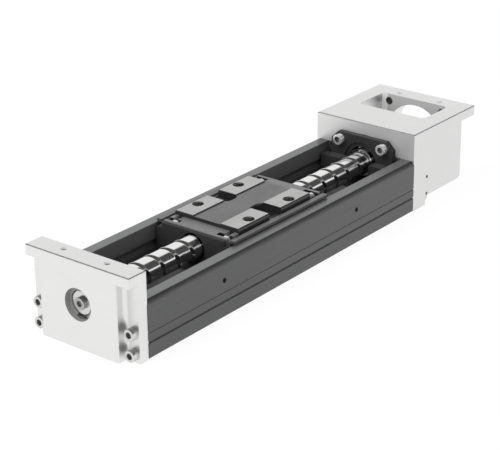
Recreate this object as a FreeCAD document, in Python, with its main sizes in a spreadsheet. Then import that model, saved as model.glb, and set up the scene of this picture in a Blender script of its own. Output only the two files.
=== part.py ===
import FreeCAD, Part
import Sketcher
import math
import os
import re

# Electric linear slide: a U-shaped guide rail with a ball screw along its channel, an end plate that
# carries the free end of the screw, a motor flange that carries its driven end, and a carriage that
# the screw moves. Millimetres. X runs along the rail towards the motor, Z is up, and the origin is
# the middle of the rail's mounting face. The rail and both ends are fixed, the screw turns about its
# axis, and the carriage slides along X.

SIZES = {
    # Guide rail: a U channel with a flat floor and a ball groove in each inner wall
    "rail_length": 200,
    "rail_width": 60,
    "rail_above_axis": 6.2,
    "rail_wall": 7.5,
    "rail_floor": 8,
    "rail_top_edge": 2,
    "rail_foot_edge": 0.8,
    "side_groove_height": 7.9,
    "side_groove_width": 1.2,
    "side_groove_depth": 0.8,
    "side_line_height": 12.45,
    "side_line_width": 0.7,
    "side_line_depth": 0.3,
    "base_pitch_along": 100,
    "base_hole_inset": 7.5,
    "base_hole": 5.5,
    "base_counterbore": 9.5,
    "base_counterbore_depth": 5.4,
    "side_hole_pitch": 100,
    "side_hole_height": 18,
    "side_hole": 2.5,
    "side_hole_depth": 5,
    # Socket screws that hold both ends to the rail and the bearing housing to the motor flange
    "screw_shank": 3,
    "screw_head": 5.5,
    "screw_head_height": 3,
    "screw_socket": 2.5,
    "screw_socket_depth": 1.6,
    "screw_in_rail": 7,
    "screw_gap": 0.1,
    "end_screw_low": 3.7,
    "end_screw_high": 13.5,
    # Screw axis and thread
    "axis_height": 20.8,
    "thread_crest": 12,
    "thread_root_step": 1.2,
    "thread_lead": 10,
    "thread_start_gap": 3,
    "thread_relief": 0.3,
    "thread_phase": -2.5,
    "thread_ball": 2,
    "thread_ball_rise": 0.4,
    "thread_turns_loaded": 2.5,
    "track_gap": 0.1,
    # End plate
    "end_plate_depth": 10.5,
    "plate_side_gap": 0.3,
    "plate_lift": 0.1,
    "plate_edge": 0.4,
    "lip_thickness": 5,
    "notch_width": 7.5,
    "end_flange": 5.5,
    "notch_round": 2,
    "lip_hole": 3,
    "lip_hole_pitch": 25,
    "lip_hole_depth": 4,
    "end_lip_hole_inset": 6.1,
    # Support bearing in the end plate
    "support_outside": 15,
    "support_inside": 8,
    "support_width": 5,
    "support_ball": 2.4,
    "support_ball_count": 9,
    "support_ring_wall": 1.1,
    "support_shoulder": 2,
    "support_shoulder_bore": 13,
    "support_shield": 0.4,
    "support_shield_inset": 0.2,
    "circlip_thickness": 1,
    "circlip_reach": 0.5,
    "circlip_width": 1.4,
    "circlip_opening": 50,
    "end_washer": 10.5,
    "end_washer_thickness": 1,
    "end_screw_shank": 4,
    "end_screw_length": 8,
    "end_screw_head": 5.8,
    "end_screw_head_height": 1.7,
    "end_screw_socket": 2.5,
    "end_screw_socket_depth": 1.1,
    # Motor flange
    "flange_body": 44,
    "seat_wall": 1.8,
    "flange_foot": 11.5,
    "flange_foot_round": 3,
    "flange_heel_round": 2,
    "window_start": 23.5,
    "window_length": 22.5,
    "window_side_wall": 2.3,
    "window_round": 2.5,
    "chamber_wall": 3,
    "motor_wall": 11,
    "motor_bore": 34,
    "motor_circle": 46,
    "motor_land": 3.937,
    "motor_hole": 4.2,
    "flange_lip_hole_inset": 6.5,
    "head_counterbore": 6,
    "peep_hole": 1.8,
    "peep_hole_depth": 1.5,
    "peep_hole_place": 12.7,
    "peep_hole_low": 6,
    "peep_hole_high": 15.2,
    # Bearing housing at the driven end
    "housing_plate": 3,
    "housing_side_land": 5.5,
    "housing_top_land": 3.7,
    "housing_corner": 4,
    "housing_boss": 28,
    "housing_fit": 0.02,
    "housing_shoulder": 1,
    "housing_front_bore": 16.6,
    "housing_recess": 21,
    "housing_recess_depth": 0.8,
    "housing_screw_land": 2.6,
    "housing_screw_angle": 37.9,
    "housing_screw_reach": 6,
    # Drive bearings, a pair of equal ball bearings back to back
    "drive_outside": 22,
    "drive_inside": 8,
    "drive_width": 7,
    "drive_ball": 4,
    "drive_ball_count": 9,
    "drive_ring_wall": 2.1,
    "ball_gap": 0.06,
    "retainer_thickness": 2.5,
    "retainer_bore": 14,
    "collar_outside": 14.4,
    "collar_length": 4.7,
    "spacer_outside": 11.6,
    "spacer_length": 4,
    "lock_nut": 18,
    "lock_nut_length": 7,
    "lock_nut_slot": 3,
    "lock_nut_slot_depth": 1.6,
    "drive_end": 6,
    "drive_end_length": 15,
    # Rubber bumpers at both ends of the channel
    "bumper_thickness": 5.2,
    "bumper_rise": 1.7,
    "bumper_side_gap": 1,
    "bumper_notch": 16,
    "bumper_notch_drop": 8.2,
    "bumper_notch_corner": 3.4,
    # Carriage block
    "carriage_rest": 1,
    "block_length": 53.5,
    "shoulder_above_axis": 4.7,
    "pad_height": 5.5,
    "block_top_inset": 3.8,
    "block_floor_gap": 2,
    "guide_ball": 4,
    "guide_height": 17,
    "guide_gap": 0.6,
    "nut_gap": 0.11,
    "centre_recess": 16.2,
    "centre_recess_depth": 0.5,
    "slot_width": 8.9,
    "slot_depth": 4,
    "slot_inner": 12,
    "slot_round": 3,
    "pad_hole": 5,
    "pad_hole_depth": 8,
    "pad_hole_edge": 0.4,
    "block_edge": 0.5,
    "pad_pitch": 30,
    "pad_hole_inset": 3.7,
    "return_bore": 4.4,
    "return_inset": 6.2,
    # End caps, end seals and side seals of the carriage
    "cap_thickness": 8.4,
    "cap_rise": 3.3,
    "cap_top_inset": 4.1,
    "cap_side_gap": 1,
    "cap_floor_gap": 2.5,
    "cap_bore_gap": 0.7,
    "cap_screw_inset": 3.4,
    "cap_screw_rise": 0.5,
    "cap_screw_shank": 2.5,
    "cap_screw_head": 4.5,
    "cap_screw_head_height": 2.5,
    "cap_screw_in_block": 5,
    "cap_screw_socket": 2,
    "cap_screw_socket_depth": 1.3,
    "cap_front_wall": 1.6,
    "cap_slot_room": 0.3,
    "cap_slot_reach": 4,
    "seal_thickness": 1.6,
    "seal_rise": 2.7,
    "seal_top_inset": 4.5,
    "seal_side_gap": 0.3,
    "seal_floor_gap": 0.5,
    "side_seal_gap": 0.15,
    "carrier_thickness": 1.5,
    "side_lip_reach": 2.6,
    "side_lip_gap": 0.3,
    "side_lip_thickness": 1.4,
    "carrier_overlap": 0.5,
}

# Places and sizes that follow from those above
DERIVED = {
    "rail_end": "rail_length / 2",
    "rail_half": "rail_width / 2",
    "channel_half": "rail_half - rail_wall",
    "rail_height": "axis_height + rail_above_axis",
    "base_hole_place": "channel_half - base_hole_inset",
    "end_screw_place": "rail_half - rail_wall / 2",
    "plate_half": "rail_half - plate_side_gap",
    "nose_half": "plate_half - notch_width",
    "motor_hole_place": "motor_circle / 2 * sin(45 deg)",
    "plate_top": "axis_height + motor_hole_place + motor_land",
    "lip_base": "plate_top - lip_thickness",
    "flange_base": "axis_height - housing_boss / 2 - seat_wall",
    "flange_length": "window_start + window_length + motor_wall",
    "window_half": "nose_half - window_side_wall",
    "chamber_floor": "flange_base + chamber_wall",
    "housing_screw_circle": "housing_boss / 2 + housing_screw_land",
    "housing_screw_place": "housing_screw_circle * cos(housing_screw_angle * 1 deg)",
    "housing_screw_height": "axis_height + housing_screw_circle * sin(housing_screw_angle * 1 deg)",
    "housing_half": "housing_screw_place + housing_side_land",
    "housing_top": "housing_screw_height + housing_top_land",
    "boss_length": "housing_shoulder + 2 * drive_width + retainer_thickness",
    "drive_pitch": "(drive_outside + drive_inside) / 2",
    "drive_front": "rail_end + housing_shoulder",
    "drive_back": "drive_front + 2 * drive_width",
    "support_pitch": "(support_outside + support_inside) / 2",
    "support_back": "-rail_end - support_shoulder",
    "support_front": "support_back - support_width",
    "collar_front": "drive_front - collar_length",
    "thread_start": "-rail_end + thread_start_gap",
    "thread_end": "collar_front - thread_relief",
    "thread_root": "thread_crest - 2 * thread_root_step",
    "ball_circle": "thread_crest + 2 * thread_ball_rise",
    "nut_bore": "ball_circle + thread_ball + 2 * nut_gap",
    "track_begin": "thread_start - thread_lead / 2 + thread_phase",
    "bumper_half": "channel_half - bumper_side_gap",
    "bumper_top": "axis_height + bumper_rise",
    "bumper_notch_floor": "axis_height - bumper_notch_drop",
    "block_half": "channel_half - guide_gap",
    "guide_ball_place": "channel_half - guide_gap / 2",
    "guide_groove": "guide_ball + 2 * ball_gap",
    "return_place": "guide_ball_place - return_inset",
    "block_bottom": "rail_floor + block_floor_gap",
    "block_shoulder": "axis_height + shoulder_above_axis",
    "block_top": "block_shoulder + pad_height",
    "block_top_half": "channel_half - block_top_inset",
    "pad_hole_place": "block_top_half - pad_hole_inset",
    "cap_half": "channel_half - cap_side_gap",
    "cap_bottom": "rail_floor + cap_floor_gap",
    "cap_top": "block_shoulder + cap_rise",
    "cap_top_half": "channel_half - cap_top_inset",
    "cap_bore": "thread_crest + 2 * cap_bore_gap",
    "cap_screw_place": "cap_top_half - cap_screw_inset",
    "cap_screw_height": "block_shoulder + cap_screw_rise",
    "cap_slot_width": "cap_screw_head_height + cap_slot_room",
    "cap_web": "cap_thickness - cap_front_wall - cap_slot_width",
    "seal_half": "channel_half - seal_side_gap",
    "seal_bottom": "rail_floor + seal_floor_gap",
    "seal_top": "block_shoulder + seal_rise",
    "seal_top_half": "channel_half - seal_top_inset",
    "side_seal_length": "block_length + 2 * (cap_thickness - side_seal_gap)",
    "carrier_outer": "block_top_half + carrier_thickness",
    "side_lip_base": "rail_height + side_lip_gap",
    "side_lip_top": "side_lip_base + side_lip_thickness",
    "carrier_top": "side_lip_base + carrier_overlap",
}

doc = FreeCAD.newDocument("linear_slide")
sheet = doc.addObject("Spreadsheet::Sheet", "Sizes")
for row, (name, value) in enumerate(SIZES.items(), start=1):
    sheet.set("A%d" % row, name)
    sheet.set("B%d" % row, str(value))
    sheet.setAlias("B%d" % row, name)
doc.recompute()

nodes = []


def formula(text):
    """A formula in the sizes' own names, with each name pointed at where its value is kept."""
    def point(word):
        if word[0] in SIZES:
            return "Sizes." + word[0]
        return "Places." + word[0] if word[0] in DERIVED else word[0]
    return re.sub(r"[a-z][a-z_]+", point, text)


places = doc.addObject("App::VarSet", "Places")
for name, text in DERIVED.items():
    places.addProperty("App::PropertyFloat", name, "Places")
    places.setExpression(name, formula(text))
doc.recompute()


def size(name):
    """The value of a size or of a place that follows from the sizes."""
    return float(sheet.get(name)) if name in SIZES else getattr(places, name)


def new_body(label, x="0", z="0"):
    """A body with its own label, placed along the rail and in height."""
    body = doc.addObject("PartDesign::Body", label)
    body.Label = label
    for axis, place in (("x", x), ("z", z)):
        if place != "0":
            body.setExpression("Placement.Base." + axis, formula(place))
    return body


def new_sketch(body, name, role, offset="0"):
    """An empty sketch on one of the body's own origin planes, moved along the plane's normal."""
    sketch = body.newObject("Sketcher::SketchObject", name)
    plane = [feature for feature in body.Origin.OriginFeatures if feature.Role == role][0]
    sketch.AttachmentSupport = [(plane, "")]
    sketch.MapMode = "FlatFace"
    if offset != "0":
        sketch.setExpression("AttachmentOffset.Base.z", formula(offset))
    return sketch


def pin_point(sketch, geometry, position, across, up):
    """Ties a point of a sketch to the sketch's origin by two formulas."""
    for kind, axis, place in (("DistanceX", -2, across), ("DistanceY", -1, up)):
        if place == "0":
            sketch.addConstraint(Sketcher.Constraint("PointOnObject", geometry, position, axis))
            continue
        number = sketch.addConstraint(Sketcher.Constraint(kind, -1, 1, geometry, position, 1.0 + geometry))
        sketch.setExpression("Constraints[%d]" % number, formula(place))


def add_outline(sketch, corners):
    """A closed outline of straight edges through corners, each a pair of formulas."""
    first = sketch.GeometryCount
    count = len(corners)
    guess = [FreeCAD.Vector(math.cos(2 * math.pi * i / count), math.sin(2 * math.pi * i / count), 0)
             for i in range(count)]
    for i in range(count):
        sketch.addGeometry(Part.LineSegment(guess[i], guess[(i + 1) % count]), False)
    for i, (across, up) in enumerate(corners):
        sketch.addConstraint(Sketcher.Constraint("Coincident", first + i, 2, first + (i + 1) % count, 1))
        pin_point(sketch, first + i, 1, across, up)


def add_circle(sketch, across, up, diameter):
    """A circle about a point given by two formulas."""
    up_axis = FreeCAD.Vector(0, 0, 1)
    number = sketch.addGeometry(Part.Circle(FreeCAD.Vector(1, 1, 0), up_axis, 1), False)
    pin_point(sketch, number, 3, across, up)
    constraint = sketch.addConstraint(Sketcher.Constraint("Diameter", number, 2.0))
    sketch.setExpression("Constraints[%d]" % constraint, formula(diameter))


def mirrored(half):
    """A whole outline from its right half, listed from bottom to top."""
    return half + [("-(" + across + ")", up) for across, up in reversed(half)]


def rectangle(left, right, bottom, top):
    """The four corners of an upright rectangle."""
    return [(left, bottom), (right, bottom), (right, top), (left, top)]


def pad(body, name, sketch, length, symmetric=False):
    """Adds the sketch's area along its normal."""
    feature = body.newObject("PartDesign::Pad", name)
    feature.Profile = sketch
    feature.setExpression("Length", formula(length))
    if symmetric:
        feature.SideType = "Symmetric"
    doc.recompute()
    return feature


def check_removed(body, feature, before):
    """Stops the build if a cut took nothing away."""
    doc.recompute()
    if body.Shape.Volume > before - 1e-6:
        raise ValueError("%s of %s cuts nothing" % (feature.Label, body.Label))
    return feature


def pocket(body, name, sketch, depth, along_normal=False):
    """Cuts the sketch's area, against the sketch's normal unless told otherwise."""
    before = body.Shape.Volume
    feature = body.newObject("PartDesign::Pocket", name)
    feature.Profile = sketch
    feature.Reversed = along_normal
    feature.setExpression("Length", formula(depth))
    return check_removed(body, feature, before)


def turn(body, name, corners):
    """Turns an outline of (place along the axis, radius) pairs about the X axis."""
    sketch = new_sketch(body, name + "_section", "XZ_Plane")
    add_outline(sketch, corners)
    feature = body.newObject("PartDesign::Revolution", name)
    feature.Profile = sketch
    feature.ReferenceAxis = (sketch, ["H_Axis"])
    feature.Angle = 360
    doc.recompute()
    return feature


def turn_groove(body, name, place, pitch, diameter):
    """Cuts a round groove about the X axis, as a bearing's ball track."""
    before = body.Shape.Volume
    sketch = new_sketch(body, name + "_section", "XZ_Plane")
    add_circle(sketch, place, pitch + " / 2", diameter)
    feature = body.newObject("PartDesign::Groove", name)
    feature.Profile = sketch
    feature.ReferenceAxis = (sketch, ["H_Axis"])
    feature.Angle = 360
    return check_removed(body, feature, before)


def dress_edges(body, name, kind, size_name, wanted):
    """Rounds or chamfers the edges whose bounding boxes the test picks out."""
    last = body.Tip
    names = ["Edge%d" % number for number, edge in enumerate(last.Shape.Edges, start=1)
             if wanted(edge.BoundBox)]
    if not names:
        raise ValueError("%s of %s finds no edge" % (name, body.Label))
    feature = body.newObject("PartDesign::" + kind, name)
    feature.Base = (last, names)
    feature.setExpression("Radius" if kind == "Fillet" else "Size", formula(size_name))
    doc.recompute()
    if "Invalid" in feature.State:
        raise ValueError("%s of %s failed" % (name, body.Label))


def near(value, wish):
    """Whether two places are the same."""
    return abs(value - wish) < 1e-3


def crosswise_edge(box, x, z):
    """Whether an edge runs straight across the rail at one place and height."""
    return near(box.XMin, x) and near(box.XMax, x) and near(box.ZMin, z) and near(box.ZMax, z)


def round_upright_edges(body, name, radius, places):
    """Rounds the vertical edges that stand at the given x, y places of the body."""
    def wanted(box):
        upright = box.ZLength > 0.5 and box.XLength < 1e-6 and box.YLength < 1e-6
        return upright and any(near(box.XMin, x) and near(box.YMin, y) for x, y in places)
    dress_edges(body, name, "Fillet", radius, wanted)


def cap_screw(name, shank, length, head, head_height, socket, socket_depth):
    """One socket screw along +X, with the underside of its head at the origin."""
    body = new_body(name)
    turn(body, "turned", [("-" + head_height, "0"), ("-" + head_height, head + " / 2"), ("0", head + " / 2"),
                          ("0", shank + " / 2"), (length, shank + " / 2"), (length, "0")])
    sketch = new_sketch(body, "socket_outline", "YZ_Plane", "-" + head_height)
    corner = "%s / sqrt(3) * %s(%d deg)"
    add_outline(sketch, [(corner % (socket, "cos", angle), corner % (socket, "sin", angle))
                         for angle in range(15, 375, 60)])
    pocket(body, "socket", sketch, socket_depth, along_normal=True)
    return body


def place_copies(label, piece, places, turned_round=False):
    """A node of separate equal solids, one at each place."""
    rotation = FreeCAD.Rotation(FreeCAD.Vector(0, 0, 1), 180 if turned_round else 0)
    copies = []
    for place in places:
        copy = piece.Shape.copy()
        copy.Placement = FreeCAD.Placement(FreeCAD.Vector(*place), rotation).multiply(copy.Placement)
        copies.append(copy)
    group = doc.addObject("Part::Feature", label)
    group.Label = label
    group.Shape = Part.makeCompound(copies)
    nodes.append(group)


def place_balls(label, diameter, centres):
    """A node of separate equal balls."""
    group = doc.addObject("Part::Feature", label)
    group.Label = label
    group.Shape = Part.makeCompound([Part.makeSphere(diameter / 2, FreeCAD.Vector(*centre))
                                     for centre in centres])
    nodes.append(group)


def bearing_ring(name, start, width, inner, outer, pitch, ball):
    """One ring of a ball bearing, along +X from its start, with its ball track."""
    body = new_body(name, x=start)
    turn(body, "turned", rectangle("0", width, inner, outer))
    turn_groove(body, "ball_track", width + " / 2", pitch, ball + " + 2 * ball_gap")
    return body


def build_guide_rail():
    """The U-shaped rail, padded from one section, with its holes and grooves."""
    body = new_body("guide_rail")
    sketch = new_sketch(body, "section", "YZ_Plane")
    half = [("rail_half - rail_foot_edge", "0"), ("rail_half", "rail_foot_edge")]
    for groove in ("side_groove", "side_line"):
        low = "%s_height - %s_width / 2" % (groove, groove)
        high = "%s_height + %s_width / 2" % (groove, groove)
        deep = "rail_half - %s_depth" % groove
        half += [("rail_half", low), (deep, low), (deep, high), ("rail_half", high)]
    half += [("rail_half", "rail_height - rail_top_edge"), ("rail_half - rail_top_edge", "rail_height"),
             ("channel_half", "rail_height"), ("channel_half", "rail_floor")]
    add_outline(sketch, mirrored(half))
    pad(body, "channel", sketch, "rail_length", symmetric=True)

    grooves = new_sketch(body, "ball_grooves_section", "YZ_Plane", "-rail_end")
    for side in ("", "-"):
        add_circle(grooves, side + "guide_ball_place", "guide_height", "guide_groove")
    pocket(body, "ball_grooves", grooves, "rail_length", along_normal=True)

    for name, diameter, depth in (("base_holes", "base_hole", "rail_floor"),
                                  ("base_counterbores", "base_counterbore", "base_counterbore_depth")):
        holes = new_sketch(body, name + "_plan", "XY_Plane", "rail_floor")
        for along in ("", "-"):
            for across in ("", "-"):
                add_circle(holes, along + "base_pitch_along / 2", across + "base_hole_place", diameter)
        pocket(body, name, holes, depth)

    # A sketch on the XZ plane faces -Y, so its offset counts towards the near side of the rail
    for name, offset, along in (("side_holes_right", "rail_half", False),
                                ("side_holes_left", "-rail_half", True)):
        holes = new_sketch(body, name + "_view", "XZ_Plane", offset)
        for side in ("", "-"):
            add_circle(holes, side + "side_hole_pitch / 2", "side_hole_height", "side_hole")
        pocket(body, name, holes, "side_hole_depth", along_normal=along)

    for name, offset, along in (("end_holes_near", "-rail_end", True), ("end_holes_drive", "rail_end", False)):
        holes = new_sketch(body, name + "_view", "YZ_Plane", offset)
        for side in ("", "-"):
            for height in ("end_screw_low", "end_screw_high"):
                add_circle(holes, side + "end_screw_place", height, "screw_shank + screw_gap")
        pocket(body, name, holes, "screw_in_rail + 1", along_normal=along)
    nodes.append(body)


def add_end_screw_holes(sketch, diameter, heights=("end_screw_low", "end_screw_high")):
    """The circles for the screws that hold an end piece to the rail."""
    for side in ("", "-"):
        for height in heights:
            add_circle(sketch, side + "end_screw_place", height, diameter)


def build_end_plate():
    """The end plate: a flange against the rail, a narrower nose and a lip over both."""
    body = new_body("end_plate", x="-rail_end - end_plate_depth")
    lip = new_sketch(body, "lip_section", "YZ_Plane")
    add_outline(lip, rectangle("-plate_half", "plate_half", "lip_base", "plate_top"))
    pad(body, "lip", lip, "end_plate_depth")
    nose = new_sketch(body, "nose_section", "YZ_Plane")
    add_outline(nose, rectangle("-nose_half", "nose_half", "plate_lift", "lip_base"))
    pad(body, "nose", nose, "end_plate_depth")
    flange = new_sketch(body, "flange_section", "YZ_Plane", "end_plate_depth - end_flange")
    add_outline(flange, rectangle("-plate_half", "plate_half", "plate_lift",
                                  "lip_base"))
    pad(body, "flange", flange, "end_flange")
    inner_x = size("end_plate_depth") - size("end_flange")
    round_upright_edges(body, "notch_rounds", "notch_round",
                        [(inner_x, side * size("nose_half")) for side in (1, -1)])

    nose = size("nose_half")
    lip_base = size("lip_base")

    def outer_edges(box):
        """The edges round the lip's top and the upright edges of the lip and the nose's front."""
        top = near(box.ZMin, size("plate_top"))
        lip_corner = near(box.ZMin, lip_base) and near(box.ZMax, size("plate_top"))
        nose_corner = near(box.XMax, 0) and near(abs(box.YMin), nose) and near(box.YMax, box.YMin)
        return top or lip_corner or nose_corner

    dress_edges(body, "outer_edges", "Chamfer", "plate_edge", outer_edges)

    seat = new_sketch(body, "bearing_seat_view", "YZ_Plane")
    add_circle(seat, "0", "axis_height", "support_outside + 2 * housing_fit")
    pocket(body, "bearing_seat", seat, "end_plate_depth - support_shoulder", along_normal=True)
    passage = new_sketch(body, "screw_passage_view", "YZ_Plane")
    add_circle(passage, "0", "axis_height", "support_shoulder_bore")
    pocket(body, "screw_passage", passage, "end_plate_depth", along_normal=True)
    groove = new_sketch(body, "circlip_groove_view", "YZ_Plane",
                        "end_plate_depth - support_shoulder - support_width - circlip_thickness - housing_fit")
    add_circle(groove, "0", "axis_height", "support_outside + 2 * circlip_reach")
    pocket(body, "circlip_groove", groove, "circlip_thickness + housing_fit", along_normal=True)
    holes = new_sketch(body, "screw_holes_view", "YZ_Plane")
    add_end_screw_holes(holes, "screw_shank + 2 * screw_gap")
    pocket(body, "screw_holes", holes, "end_plate_depth", along_normal=True)
    lip_holes = new_sketch(body, "lip_holes_plan", "XY_Plane", "plate_top")
    for side in ("", "-"):
        add_circle(lip_holes, "end_lip_hole_inset", side + "lip_hole_pitch / 2", "lip_hole")
    pocket(body, "lip_holes", lip_holes, "lip_hole_depth")
    nodes.append(body)


def build_motor_flange():
    """The motor flange: bearing seat, open coupling chamber and motor wall under one long lip."""
    body = new_body("motor_flange", x="rail_end")
    lip = new_sketch(body, "lip_section", "YZ_Plane")
    add_outline(lip, rectangle("-plate_half", "plate_half", "lip_base", "plate_top"))
    pad(body, "lip", lip, "flange_length")
    main = new_sketch(body, "main_section", "YZ_Plane")
    add_outline(main, rectangle("-plate_half", "plate_half", "flange_base",
                                "lip_base"))
    pad(body, "main", main, "flange_body")
    dress_edges(body, "heel_round", "Fillet", "flange_heel_round",
                lambda box: crosswise_edge(box, size("flange_body"), size("flange_base")))
    wall = new_sketch(body, "motor_wall_section", "YZ_Plane", "flange_body")
    add_outline(wall, rectangle("-nose_half", "nose_half", "plate_lift",
                                "lip_base"))
    pad(body, "motor_wall", wall, "flange_length - flange_body")
    foot = new_sketch(body, "foot_section", "YZ_Plane")
    add_outline(foot, rectangle("-plate_half", "plate_half", "plate_lift", "flange_base"))
    pad(body, "foot", foot, "flange_foot")
    dress_edges(body, "foot_round", "Fillet", "flange_foot_round",
                lambda box: crosswise_edge(box, size("flange_foot"), size("flange_base")))
    lip_base = size("lip_base")
    dress_edges(body, "lip_edges", "Chamfer", "plate_edge",
                lambda box: near(box.ZMin, size("plate_top"))
                or (near(box.ZMin, lip_base) and near(box.ZMax, size("plate_top"))))

    seat = new_sketch(body, "housing_seat_view", "YZ_Plane")
    add_circle(seat, "0", "axis_height", "housing_boss + 2 * housing_fit")
    pocket(body, "housing_seat", seat, "window_start", along_normal=True)
    chamber = new_sketch(body, "chamber_plan", "XY_Plane", "plate_top")
    add_outline(chamber, rectangle("window_start", "window_start + window_length", "-window_half",
                                   "window_half"))
    pocket(body, "chamber", chamber, "plate_top - chamber_floor")
    corners = [(size("window_start") + along * size("window_length"), side * size("window_half"))
               for along in (0, 1) for side in (1, -1)]
    round_upright_edges(body, "chamber_rounds", "window_round", corners)
    bore = new_sketch(body, "motor_bore_view", "YZ_Plane", "flange_length")
    add_circle(bore, "0", "axis_height", "motor_bore")
    pocket(body, "motor_bore_cut", bore, "motor_wall")
    for name, rise, depth in (("motor_holes_high", "+", "motor_wall + window_round"),
                              ("motor_holes_low", "-", "flange_length - flange_body")):
        holes = new_sketch(body, name + "_view", "YZ_Plane", "flange_length")
        for side in ("", "-"):
            add_circle(holes, side + "motor_hole_place", "axis_height %s motor_hole_place" % rise, "motor_hole")
        pocket(body, name, holes, depth)

    screw_holes = new_sketch(body, "screw_holes_view", "YZ_Plane")
    add_end_screw_holes(screw_holes, "screw_shank + 2 * screw_gap")
    pocket(body, "screw_holes", screw_holes, "flange_foot", along_normal=True)
    heads = new_sketch(body, "head_counterbores_view", "YZ_Plane", "flange_body")
    add_end_screw_holes(heads, "head_counterbore")
    pocket(body, "head_counterbores", heads, "flange_body - flange_foot")
    housing_holes = new_sketch(body, "housing_screw_holes_view", "YZ_Plane")
    for side in ("", "-"):
        add_circle(housing_holes, side + "housing_screw_place", "housing_screw_height",
                   "screw_shank + screw_gap")
    pocket(body, "housing_screw_holes", housing_holes, "housing_screw_reach + 1", along_normal=True)
    lip_holes = new_sketch(body, "lip_holes_plan", "XY_Plane", "plate_top")
    for side in ("", "-"):
        add_circle(lip_holes, "flange_length - flange_lip_hole_inset", side + "lip_hole_pitch / 2", "lip_hole")
    pocket(body, "lip_holes", lip_holes, "lip_hole_depth")
    for name, offset, along in (("peep_holes_right", "plate_half", False),
                                ("peep_holes_left", "-plate_half", True)):
        peep = new_sketch(body, name + "_view", "XZ_Plane", offset)
        for height in ("peep_hole_low", "peep_hole_high"):
            add_circle(peep, "peep_hole_place", height, "peep_hole")
        pocket(body, name, peep, "peep_hole_depth", along_normal=along)
    nodes.append(body)


def build_bearing_housing():
    """The steel housing of the drive bearings: a shouldered plate with a round boss behind it."""
    body = new_body("bearing_housing", x="rail_end")
    plate = new_sketch(body, "plate_section", "YZ_Plane", "-housing_plate")
    half = [("housing_half", "rail_floor + plate_lift"),
            ("housing_half", "housing_top - housing_corner"),
            ("housing_half - housing_corner", "housing_top")]
    add_outline(plate, mirrored(half))
    pad(body, "plate", plate, "housing_plate")
    boss = new_sketch(body, "boss_section", "YZ_Plane")
    add_circle(boss, "0", "axis_height", "housing_boss")
    pad(body, "boss", boss, "boss_length")
    recess = new_sketch(body, "recess_view", "YZ_Plane", "-housing_plate")
    add_circle(recess, "0", "axis_height", "housing_recess")
    pocket(body, "recess", recess, "housing_recess_depth", along_normal=True)
    front = new_sketch(body, "front_bore_view", "YZ_Plane", "-housing_plate")
    add_circle(front, "0", "axis_height", "housing_front_bore")
    pocket(body, "front_bore", front, "housing_plate + housing_shoulder", along_normal=True)
    seat = new_sketch(body, "bearing_seat_view", "YZ_Plane", "housing_shoulder")
    add_circle(seat, "0", "axis_height", "drive_outside + 2 * housing_fit")
    pocket(body, "bearing_seat", seat, "boss_length", along_normal=True)
    holes = new_sketch(body, "screw_holes_view", "YZ_Plane", "-housing_plate")
    for side in ("", "-"):
        add_circle(holes, side + "housing_screw_place", "housing_screw_height",
                   "screw_shank + 2 * screw_gap")
    pocket(body, "screw_holes", holes, "housing_plate", along_normal=True)
    nodes.append(body)


def build_fixing_screws():
    """The socket screws of both ends and of the bearing housing."""
    rail_end = size("rail_end")
    spread = size("end_screw_place")
    heights = (size("end_screw_low"), size("end_screw_high"))
    head = ("screw_head", "screw_head_height", "screw_socket", "screw_socket_depth")
    end_screw = cap_screw("end_plate_screw", "screw_shank", "end_flange + screw_in_rail", *head)
    place_copies("end_plate_screws", end_screw, [(-rail_end - size("end_flange"), side * spread, height)
                                                 for side in (1, -1) for height in heights])
    flange_screw = cap_screw("motor_flange_screw", "screw_shank", "flange_foot + screw_in_rail", *head)
    place_copies("motor_flange_screws", flange_screw, [(rail_end + size("flange_foot"), side * spread, height)
                                                       for side in (1, -1) for height in heights],
                 turned_round=True)
    housing_screw = cap_screw("housing_screw", "screw_shank", "housing_plate + housing_screw_reach", *head)
    place_copies("bearing_housing_screws", housing_screw,
                 [(rail_end - size("housing_plate"), side * size("housing_screw_place"),
                   size("housing_screw_height")) for side in (1, -1)])


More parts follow.
